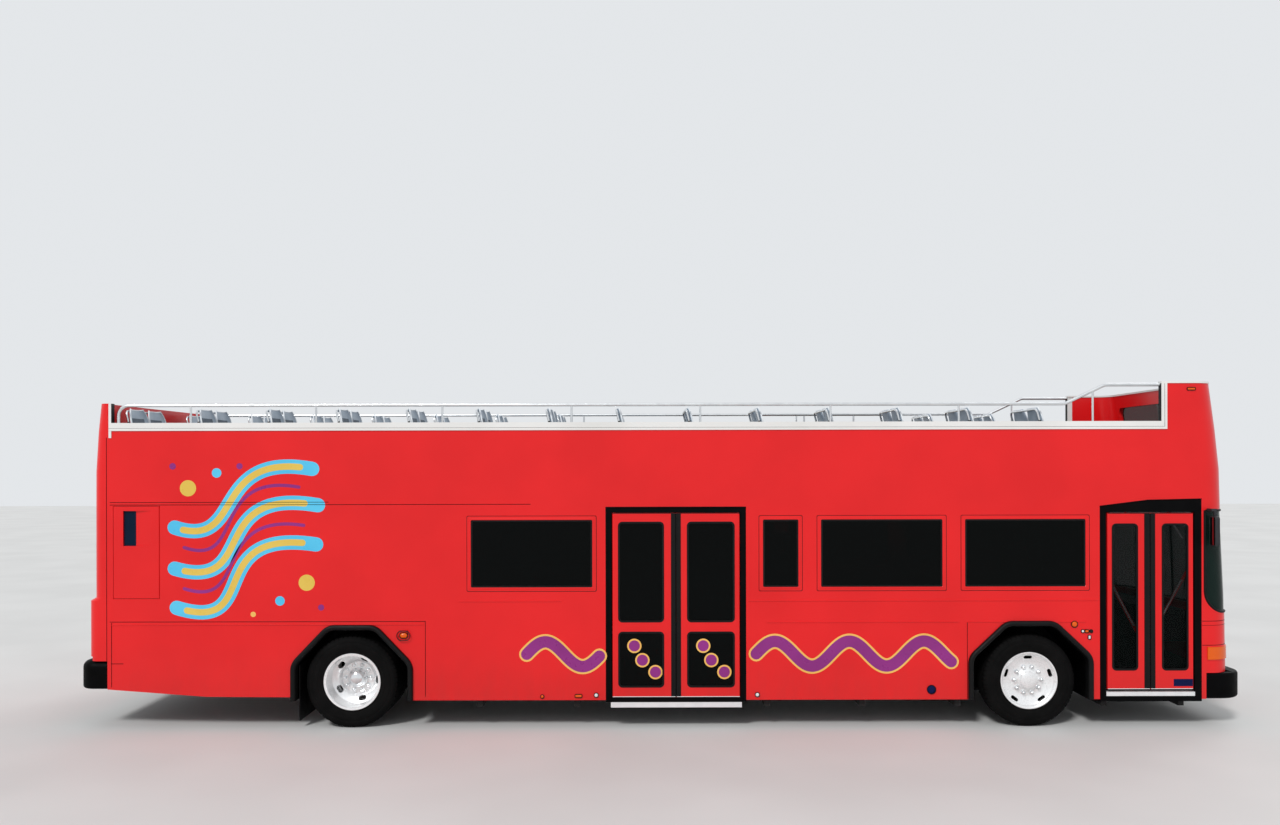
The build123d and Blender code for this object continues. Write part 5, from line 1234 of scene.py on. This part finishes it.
def makeLivery():
    v = liverySet
    for label, side in sides:
        y = side * bodyHalf
        films = {film: bmesh.new() for film in ("film_blue", "film_yellow", "film_purple", "film_orange")}
        for points in v["streamers"]:
            line = bezier(points)
            addStrip(films["film_blue"], ribbonLoop(line, v["blueWide"]), y, side, v["blueProud"])
            addStrip(films["film_yellow"], ribbonLoop(line[2:-2], v["coreWide"]), y, side, v["coreProud"])
        for points in v["purple"]:
            addStrip(films["film_purple"], ribbonLoop(bezier(points), v["purpleWide"]), y, side,
                     v["blueProud"])
        for x, z, radius, film in v["dots"]:
            addStrip(films[film], circleLoop(x, z, radius), y, side, v["blueProud"])
        for x0, x1 in v["bands"]:
            count = int((x1 - x0) / v["bandStep"])
            runs = [(x1 - x0) * i / count for i in range(count + 1)]
            line = [Vector((x0 + run, v["bandMiddle"]
                            + v["bandSwing"] * math.sin(2 * math.pi * run / v["bandWave"]))) for run in runs]
            addStrip(films["film_orange"], ribbonLoop(line, v["bandWide"] + v["bandRim"]), y, side,
                     v["blueProud"])
            addStrip(films["film_purple"], ribbonLoop(line, v["bandWide"]), y, side, v["coreProud"])
        for film, bm in films.items():
            newPiece(f"{film}_{label}", bm, film, "bus")
    small, big = v["paneDotRadius"]
    for body, middle in v["panes"]:
        rims, dots = bmesh.new(), bmesh.new()
        for x, z in v["paneDots"]:
            addStrip(rims, circleLoop(middle + x, z, big), v["paneY"], -1, v["blueProud"], 0.0)
            addStrip(dots, circleLoop(middle + x, z, small), v["paneY"], -1, v["coreProud"], 0.0)
        newPiece(f"{body}_dot_rims", rims, "film_orange", body)
        newPiece(f"{body}_dots", dots, "film_purple", body)


makeLivery()
makeSmallTrim()
print("livery films ready")


# Small side lamps and reflectors: domed lenses in dark bezels

lampSet = {
    "bezel": 0.006, "bezelProud": 0.009, "steps": 5,
    # x, z, half width, half height, corner radius, how proud, lens
    "right": [(4.308, 1.08, 0.03, 0.03, 0.0299, 0.018, "lamp_amber"),
              (4.395, 1.007, 0.014, 0.014, 0.0139, 0.012, "lamp_white"),
              (4.438, 1.007, 0.018, 0.014, 0.006, 0.01, "lamp_amber"),
              (4.482, 1.007, 0.014, 0.014, 0.0139, 0.01, "chassis_grey"),
              (4.465, 0.944, 0.012, 0.018, 0.006, 0.01, "lamp_white"),
              (-2.705, 0.976, 0.04, 0.028, 0.0279, 0.02, "lamp_amber"),
              (-1.258, 0.335, 0.016, 0.016, 0.0159, 0.012, "lamp_amber"),
              (-0.879, 0.34, 0.034, 0.014, 0.008, 0.01, "lamp_amber"),
              (-0.694, 0.348, 0.02, 0.02, 0.0199, 0.012, "lamp_white"),
              (0.991, 0.35, 0.02, 0.02, 0.0199, 0.012, "lamp_white"),
              (5.534, 3.54, 0.04, 0.011, 0.006, 0.01, "lamp_amber"),
              (2.812, 0.4, 0.0425, 0.0425, 0.0424, 0.006, "patch_blue")],
    "left": [(4.52, 0.985, 0.045, 0.022, 0.008, 0.012, "lamp_amber"),
             (5.534, 3.54, 0.04, 0.011, 0.006, 0.01, "lamp_amber"),
             (-2.705, 0.976, 0.04, 0.028, 0.0279, 0.02, "lamp_amber"),
             (-0.893, 0.39, 0.034, 0.014, 0.008, 0.01, "lamp_amber"),
             (0.919, 0.39, 0.014, 0.014, 0.0139, 0.012, "lamp_white"),
             (-5.62, 0.84, 0.045, 0.022, 0.008, 0.012, "lamp_red")],
    "guard": {"x": -2.705, "z": 0.976, "halfWide": 0.068, "halfHigh": 0.05, "radius": 0.005, "stand": 0.026,
              "legs": (0.03, 0.0035)}}


def addDome(bm, x, z, halfWide, halfHigh, radius, y, side, proud, steps=5):
    # A lens or button: its outline shrinks as it rises from the wall
    rings = []
    for step in range(steps + 1):
        angle = math.pi / 2 * step / steps
        shrink = (1 - math.cos(angle)) * min(halfWide, halfHigh) * 0.55
        loop = roundedLoop(x - halfWide + shrink, x + halfWide - shrink, z - halfHigh + shrink,
                           z + halfHigh - shrink, max(radius - shrink, 0.0006), 6)
        rings.append([bm.verts.new((a, y + side * proud * math.sin(angle), b)) for a, b in loop])
    base = [bm.verts.new((vert.co.x, y - side * 0.001, vert.co.z)) for vert in rings[0]]
    rings.insert(0, base)
    addWalls(bm, rings, closedSweep=False)
    bm.faces.new(list(reversed(rings[0])))
    bm.faces.new(rings[-1])


def makeSideLamps():
    s = lampSet
    for label, side in sides:
        y = side * bodyHalf
        lenses, bezels = {}, bmesh.new()
        for x, z, wide, high, radius, proud, slot in s[label]:
            lens = lenses.setdefault(slot, bmesh.new())
            addDome(lens, x, z, wide, high, radius, y, side, proud, s["steps"])
            rim = (x - wide, x + wide, z - high, z + high, radius)
            addRing(bezels, growLoop(*rim, s["bezel"]), growLoop(*rim, 0.0003), y - side * 0.001,
                    y + side * s["bezelProud"])
        for slot, bm in lenses.items():
            newPiece(f"side_lamps_{slot}_{label}", bm, slot, "bus", 40)
        newPiece(f"side_lamp_bezels_{label}", bezels, "rubber_black", "bus")
        guard = bmesh.new()
        g = s["guard"]
        loop = roundedLoop(g["x"] - g["halfWide"], g["x"] + g["halfWide"], g["z"] - g["halfHigh"],
                           g["z"] + g["halfHigh"], g["halfHigh"] - 0.0005, 8)
        outside = y + side * g["stand"]
        addTube(guard, [(a, outside, b) for a, b in loop], g["radius"], 8, True)
        for x in (-g["halfWide"] + g["legs"][0], g["halfWide"] - g["legs"][0]):
            for z in (-g["halfHigh"] + g["legs"][1], g["halfHigh"] - g["legs"][1]):
                leg = [(g["x"] + x, reach, g["z"] + z) for reach in (y, outside)]
                addTube(guard, leg, g["radius"] * 0.9, 8)
        newPiece(f"side_lamp_guard_{label}", guard, "chassis_grey", "bus", 50)


# Front: headlamp bezels, marker lamps, windscreen rubber and wipers, plates and the blank destination glass

frontSet = {
    "tipX": 6.12, "profile": [(0.296, 0.135), (1.34, 0.15), (1.375, 0.151), (2.27, 0.192), (2.7, 0.203),
                              (3.12, 0.247), (3.62, 0.315)],
    "cornerRadius": 0.24, "headlampZ": 0.76, "headlampY": (0.78, 1.0),
    "bezelProfile": [(0.0853, -0.002), (0.0853, 0.012), (0.088, 0.016), (0.094, 0.017), (0.101, 0.013),
                     (0.106, 0.004), (0.107, -0.002)],
    "lensProfile": [(0.0848, 0.003), (0.0835, 0.0085), (0.07, 0.0125), (0.045, 0.0155), (0.02, 0.017),
                    (0.0, 0.0172), (0.0, 0.003), (0.0848, 0.003)],
    "screen": {"rear": 5.67, "bottom": 1.196, "top": 2.27, "radius": 0.23, "gasket": 0.013, "inset": 0.004,
               "sunk": 0.002, "bars": (1.375, 1.8), "barRadius": 0.016},
    # height, first x and how high
    "seams": [(1.107, 5.645, 0.005), (1.064, 5.645, 0.003), (0.855, 5.645, 0.005), (1.185, 5.93, 0.004)],
    "seamProud": 0.0014, "plateZ": (0.6, 0.75), "plateHalf": 0.155, "plateRim": 0.01,
    "markers": [-0.24, -0.08, 0.08, 0.24, -0.62, 0.62], "markerZ": 2.36, "markerHalf": (0.045, 0.018),
    "markerRim": 0.007, "destination": {"half": 0.62, "low": 2.42, "high": 2.66, "rim": 0.02},
    # where each wiper's root, its blade's middle and the way of its lower end lie across the front
    "wipers": [(-0.16, -0.5, -0.92), (0.86, 0.5, 0.08)],
    # root and elbow as the height where the front's x is read and the height of the point
    "wiper": {"root": (1.16, 1.165), "elbow": (1.72, 1.62), "headZ": 1.74, "halfBlade": 0.34, "rise": 0.62,
              "arm": 0.006, "claw": 0.0045,
              "boss": [(0.0, -0.02), (0.02, -0.02), (0.02, 0.008), (0.012, 0.016), (0.0, 0.018)]}}


def frontX(z):
    # The front face's x at a height
    rows = frontSet["profile"]
    for (z0, s0), (z1, s1) in zip(rows, rows[1:]):
        if z <= z1:
            return frontSet["tipX"] - s0 - (s1 - s0) * (z - z0) / (z1 - z0)
    return frontSet["tipX"] - rows[-1][1]


def frontRoute(z, inset, rearX):
    # Round the front at one height, from the door side to the street side, also from a start on the corner
    f = frontSet
    radius = f["cornerRadius"] - inset
    x, y = frontX(z) - inset, bodyHalf - inset
    foot = x - radius
    first = math.asin(min(max((rearX - foot) / radius, 0.0), 0.99))
    route = [(rearX, -y)] if rearX < foot else []
    route += [(foot + radius * math.sin(a), -y + radius - radius * math.cos(a))
              for a in (first + (math.pi / 2 - first) * i / 12 for i in range(13))]
    route += [(a, -b) for a, b in reversed(route)]
    return [(a, b, z) for a, b in route]


def skinY(x, z, inset):
    # How far out the skin stands at an x and a height, also where it turns round the front corner
    radius = frontSet["cornerRadius"] - inset
    into = min(max((x - frontX(z) + frontSet["cornerRadius"]) / radius, 0.0), 1.0)
    return bodyHalf - inset - radius + radius * math.sqrt(1 - into * into)


def addSlab(bm, y0, y1, z0, z1, proud, sunk=0.002):
    # A plate lying on the front face between two heights
    points = []
    for z in (z0, z1):
        for lift in (-sunk, proud):
            points.append([(frontX(z) + lift, y, z) for y in (y0, y1)])
    a, b, c, d = [[bm.verts.new(p) for p in pair] for pair in points]
    for quad in ((b[0], b[1], d[1], d[0]), (a[0], c[0], c[1], a[1]), (a[0], a[1], b[1], b[0]),
                 (c[0], d[0], d[1], c[1]), (a[0], b[0], d[0], c[0]), (a[1], c[1], d[1], b[1])):
        bm.faces.new(quad)


def addBand(bm, z0, z1, rearX, proud):
    # A thin strip lying round the front between two heights
    loops = [[bm.verts.new(p) for p in frontRoute(z, inset, rearX)]
             for z, inset in ((z0, 0.001), (z1, 0.001), (z1, -proud), (z0, -proud))]
    addWalls(bm, loops, closedRows=False)
    addEnds(bm, loops)


def rimBoxes(y0, y1, z0, z1, wide):
    # The four strips round a rectangle, as y and z: over it, under it and at both sides
    step = wide if y1 > y0 else -wide
    return ((y0 - step, y1 + step, z1, z1 + wide), (y0 - step, y1 + step, z0 - wide, z0),
            (y0 - step, y0, z0, z1), (y1, y1 + step, z0, z1))


def makeHeadlamps():
    f = frontSet
    bezels, lenses = bmesh.new(), bmesh.new()
    x = frontX(f["headlampZ"])
    for side in (-1, 1):
        for y in f["headlampY"]:
            centre = (x, side * y, f["headlampZ"])
            addTurned(bezels, f["bezelProfile"] + f["bezelProfile"][:1], centre, "X", 48)
            addTurned(lenses, f["lensProfile"], centre, "X", 48)
    weld(lenses)
    weld(bezels)
    newPiece("headlamp_bezels", bezels, "bezel_chrome", "bus", 50)
    newPiece("headlamp_lenses", lenses, "lamp_clear", "bus", 50)


def makeScreenRubber():
    # One closed loop round the windscreen, and the bar down its middle
    s = frontSet["screen"]
    gasket = bmesh.new()
    inset, sunk = s["inset"], s["sunk"]
    rear, low, high, arc = s["rear"] + inset, s["bottom"] + inset, s["top"] - inset, s["radius"] - inset
    edge = [(rear, high), (rear, (high + low + arc) / 2)]
    edge += [(rear + arc - arc * math.cos(a), low + arc - arc * math.sin(a))
             for a in (math.pi / 2 * i / 14 for i in range(15))]
    down = [(x, -skinY(x, z, sunk), z) for x, z in edge]
    loop = down + frontRoute(low, sunk, rear + arc)[1:-1] + [(x, -y, z) for x, y, z in reversed(down)]
    loop += list(reversed(frontRoute(high, sunk, rear)[1:-1]))
    addTube(gasket, loop, s["gasket"], 8, True)
    heights = (s["bottom"], *s["bars"], s["top"])
    addTube(gasket, [(frontX(z) - inset, 0, z) for z in heights], s["barRadius"], 8)
    newPiece("windscreen_rubber", gasket, "rubber_black", "bus", 50)


def makeFrontTrim():
    f = frontSet
    markers, glass, trim = bmesh.new(), bmesh.new(), bmesh.new()
    z, (wide, high), rim = f["markerZ"], f["markerHalf"], f["markerRim"]
    for y in f["markers"]:
        addSlab(markers, y - wide, y + wide, z - high, z + high, 0.016)
        addSlab(trim, y - wide - rim, y + wide + rim, z - high - rim, z + high + rim, 0.006)
    d = f["destination"]
    addSlab(glass, -d["half"], d["half"], d["low"], d["high"], 0.003)
    for strip in rimBoxes(-d["half"], d["half"], d["low"], d["high"], d["rim"]):
        addSlab(trim, *strip, 0.008)
    newPiece("front_markers", markers, "lamp_amber", "bus")
    newPiece("destination_glass", glass, "frame_black", "bus")
    newPiece("front_trim_strips", trim, "rubber_black", "bus")


def makeWipers():
    w = frontSet["wiper"]
    arms, rubber = bmesh.new(), bmesh.new()
    headZ, headX = w["headZ"], frontX(w["headZ"])
    for root, tip, end in frontSet["wipers"]:
        base = (frontX(w["root"][0]) + 0.02, root, w["root"][1])
        addTurned(arms, w["boss"], base, "X", 20)
        middle = (frontX(w["elbow"][0]) + 0.02, (root + tip) / 2, w["elbow"][1])
        head = (headX + 0.018, tip, headZ)
        addTube(arms, bend([base, middle, head], 0.05), w["arm"], 8)
        run = Vector((0, end - root, w["rise"])).normalized() * w["halfBlade"]
        low, high = ((frontX(z) + 0.006, y, z) for y, z in ((tip - run.y, headZ - run.z),
                                                            (tip + run.y, headZ + run.z)))
        addTube(rubber, [low, (headX + 0.007, tip, headZ), high], 0.006, 6)
        addTube(arms, [(low[0] + 0.008, *low[1:]), head, (high[0] + 0.008, *high[1:])], w["claw"], 6)
    newPiece("wiper_arms", arms, "frame_black", "bus", 50)
    newPiece("wiper_blades", rubber, "rubber_black", "bus", 50)


def makeFrontPlates():
    f = frontSet
    seams = bmesh.new()
    for z, start, tall in f["seams"]:
        addBand(seams, z, z + tall, start, f["seamProud"])
    newPiece("front_panel_gaps", seams, "frame_black", "bus")
    plate, frameBm = bmesh.new(), bmesh.new()
    (low, high), half, rim = f["plateZ"], f["plateHalf"], f["plateRim"]
    addSlab(plate, -half, half, low, high, 0.007)
    addSlab(frameBm, -half - rim, half + rim, low - rim, high + rim, 0.005)
    newPiece("front_plate_blank", plate, "white_paint", "bus")
    newPiece("front_plate_frame", frameBm, "frame_black", "bus")


# Rear lamps, engine hatch blades and latches, the rear plate and the mirrors' glass

rearSet = {
    "wallX": -5.965, "lampY": (1.01, 1.15), "lamps": [(1.48, 1.68), (1.72, 1.92)], "rim": 0.012,
    "reversing": (1.965, 2.045), "markerX": (-5.945, -5.925), "markerY": (0.95, 0.12), "markerZ": 3.05,
    "markerHalf": (0.04, 0.018), "mirror": {"x": 5.71, "y": (1.333, 1.437), "z": (1.912, 2.198)},
    # half width, heights, how far out, bevel: the plate, its frame and the lamp over it
    "plate": (0.155, (1.46, 1.61), 0.004, 0.001),
    "plateFrame": [(0.168, (1.447, 1.623), 0.003, 0.001), (0.05, (1.63, 1.652), 0.03, 0.003)]}

hatchSet = {
    "x": -6.0655, "slots": 7, "foot": 0.9, "pitch": 0.05, "high": 0.026, "half": 0.64,
    # section of a blade: x and z, from the hatch's face and the slot's foot
    "blade": [(0.004, 0.001), (0.007, 0.001), (0.034, 0.025), (0.031, 0.025)],
    # nearest and farthest from the middle, heights, how far out and in, bevel
    "latch": ((0.48, 0.6), (0.8, 0.832), (0.012, 0.002), 0.004),
    "handle": (0.09, (0.812, 0.834), (0.02, -0.002), 0.005)}


def onWall(bm, proud, y, z, bevel, segments=2, sunk=0.003):
    # A box on the rear wall
    x = rearSet["wallX"]
    addBox(bm, (x - proud, x + sunk), sorted(y), z, bevel, segments)


def makeRearLamps():
    r = rearSet
    bezels, red, white = bmesh.new(), bmesh.new(), bmesh.new()
    rim = r["rim"]
    low, high = r["reversing"]
    wide, tall = r["markerHalf"]
    for side in (-1, 1):
        inner, outer = (side * v for v in r["lampY"])
        for lamp in r["lamps"]:
            for y0, y1, z0, z1 in rimBoxes(inner, outer, *lamp, rim):
                onWall(bezels, 0.021, (y0, y1), (z0, z1), 0.001, 1)
        onWall(white, 0.016, (inner, outer), (low, high), 0.004)
        onWall(bezels, 0.012, (inner - side * rim, outer + side * rim), (low - rim, high + rim), 0.004)
        for y in r["markerY"]:
            addBox(red, r["markerX"], sorted((side * (y - wide), side * (y + wide))),
                   (r["markerZ"] - tall, r["markerZ"] + tall), 0.003)
    newPiece("rear_lamp_bezels", bezels, "rubber_black", "bus")
    newPiece("rear_markers", red, "lamp_red", "bus")
    newPiece("reversing_lamps", white, "lamp_clear", "bus")


def makeHatchTrim():
    h = hatchSet
    blade = bmesh.new()
    half = h["half"] - 0.001
    front, back = ([blade.verts.new((h["x"] + a, y, h["foot"] + b)) for a, b in h["blade"]]
                   for y in (-half, half))
    blade.faces.new(front)
    blade.faces.new(list(reversed(back)))
    addWalls(blade, [front, back], closedSweep=False)
    mesh = copiesOf(blade, rowNodes, {"Count": h["slots"], "Pitch": (0.0, 0.0, h["pitch"])}, "frame_black")
    newPiece("hatch_blades", asBmesh(mesh), "frame_black", "engine_hatch")
    latch = bmesh.new()
    y, z, (out, sunk), bevel = h["latch"]
    for side in (-1, 1):
        addBox(latch, (h["x"] - out, h["x"] + sunk), sorted(side * v for v in y), z, bevel)
    half, z, (out, sunk), bevel = h["handle"]
    addBox(latch, (h["x"] - out, h["x"] + sunk), (-half, half), z, bevel)
    newPiece("hatch_latches", latch, "bezel_chrome", "engine_hatch")


def makeRearPlate():
    plate, frameBm = bmesh.new(), bmesh.new()
    half, z, proud, bevel = rearSet["plate"]
    onWall(plate, proud, (-half, half), z, bevel, sunk=0.001)
    for half, z, proud, bevel in rearSet["plateFrame"]:
        onWall(frameBm, proud, (-half, half), z, bevel, sunk=0.001)
    newPiece("rear_plate_blank", plate, "white_paint", "bus")
    newPiece("rear_plate_frame", frameBm, "frame_black", "bus")


def makeMirrorGlass():
    m = rearSet["mirror"]
    glass = bmesh.new()
    for side in (-1, 1):
        addBox(glass, (m["x"] - 0.0015, m["x"] + 0.001), sorted(side * y for y in m["y"]), m["z"], 0.0005)
    newPiece("mirror_glass", glass, "mirror_silver", "bus")


makeSideLamps()
makeHeadlamps()
makeScreenRubber()
makeFrontTrim()
makeWipers()
makeFrontPlates()
makeRearLamps()
makeHatchTrim()
makeRearPlate()
makeMirrorGlass()
print("lamps, front and rear ready")

# Camera square to the door side, level but for a slight roll that its long lines show
camera = {"x": -0.221, "y": -12.8, "z": 2.775, "focalPx": 1100, "centreX": 641, "horizonY": 463,
          "roll": 0.002, "widePx": 1280, "highPx": 825, "sensorMm": 36}
cameraData = bpy.data.cameras.new("camera")
cameraData.sensor_width = camera["sensorMm"]
cameraData.lens = camera["focalPx"] / camera["widePx"] * camera["sensorMm"]
cameraData.shift_x = (camera["widePx"] / 2 - camera["centreX"]) / camera["widePx"]
cameraData.shift_y = (camera["horizonY"] - camera["highPx"] / 2) / camera["widePx"]
cameraObject = bpy.data.objects.new("camera", cameraData)
cameraObject.location = (camera["x"], camera["y"], camera["z"])
cameraObject.rotation_euler = (math.radians(90), camera["roll"], 0)
scene.collection.objects.link(cameraObject)
scene.camera = cameraObject

# Pale floor and soft studio light
studio = {"floorHalf": 60, "floorTones": ("#D2D2D0", "#D8D8D6"), "skyTone": "#F4F6FA", "skyStrength": 0.62,
          "backdropTone": "#E9ECEF", "backdropStrength": 0.95,
          # strength, direction and angle in degrees
          "key": (1.7, (0.35, 0.75, -0.75), 12), "fill": (0.5, (-0.5, -0.6, -0.6), 30)}
floorMesh = bpy.data.meshes.new("floor")
half = studio["floorHalf"]
floorMesh.from_pydata([(-half, -half, 0), (half, -half, 0), (half, half, 0), (-half, half, 0)], [],
                      [(0, 1, 2, 3)])
floor = bpy.data.objects.new("floor", floorMesh)
scene.collection.objects.link(floor)
floorMaterial, floorTree, floorShader = startMaterial("studio floor", {"Roughness": 0.85})
floorTone = twoTones(floorTree, noiseOf(floorTree, 2000, 2).outputs["Fac"], *studio["floorTones"])
floorTree.links.new(floorTone.outputs["Color"], floorShader.inputs["Base Color"])
floorMesh.materials.append(floorMaterial)

world = bpy.data.worlds.new("studio")
scene.world = world
world.use_nodes = True
worldTree = world.node_tree
worldTree.nodes.clear()
rays = addNode(worldTree, "ShaderNodeLightPath")
seen = addNode(worldTree, "ShaderNodeMath", {"operation": "MAXIMUM"},
               {0: rays.outputs["Is Camera Ray"], 1: rays.outputs["Is Glossy Ray"]})
seenAll = addNode(worldTree, "ShaderNodeMath", {"operation": "MAXIMUM"},
                  {0: seen.outputs["Value"], 1: rays.outputs["Is Transmission Ray"]})
lightSky = addNode(worldTree, "ShaderNodeBackground",
                   values={"Color": toLinear(studio["skyTone"]), "Strength": studio["skyStrength"]})
paleSky = addNode(worldTree, "ShaderNodeBackground",
                  values={"Color": toLinear(studio["backdropTone"]), "Strength": studio["backdropStrength"]})
skyMix = addNode(worldTree, "ShaderNodeMixShader",
                 links={0: seenAll.outputs["Value"], 1: lightSky.outputs[0], 2: paleSky.outputs[0]})
addNode(worldTree, "ShaderNodeOutputWorld", links={"Surface": skyMix.outputs[0]})


def addSun(name, strength, direction, angle):
    data = bpy.data.lights.new(name, "SUN")
    data.energy = strength
    data.angle = math.radians(angle)
    lamp = bpy.data.objects.new(name, data)
    lamp.rotation_euler = Vector(direction).to_track_quat("-Z", "Y").to_euler()
    scene.collection.objects.link(lamp)


addSun("key light", *studio["key"])
addSun("fill light", *studio["fill"])
scene.view_settings.view_transform = "Standard"
print("camera and light ready")
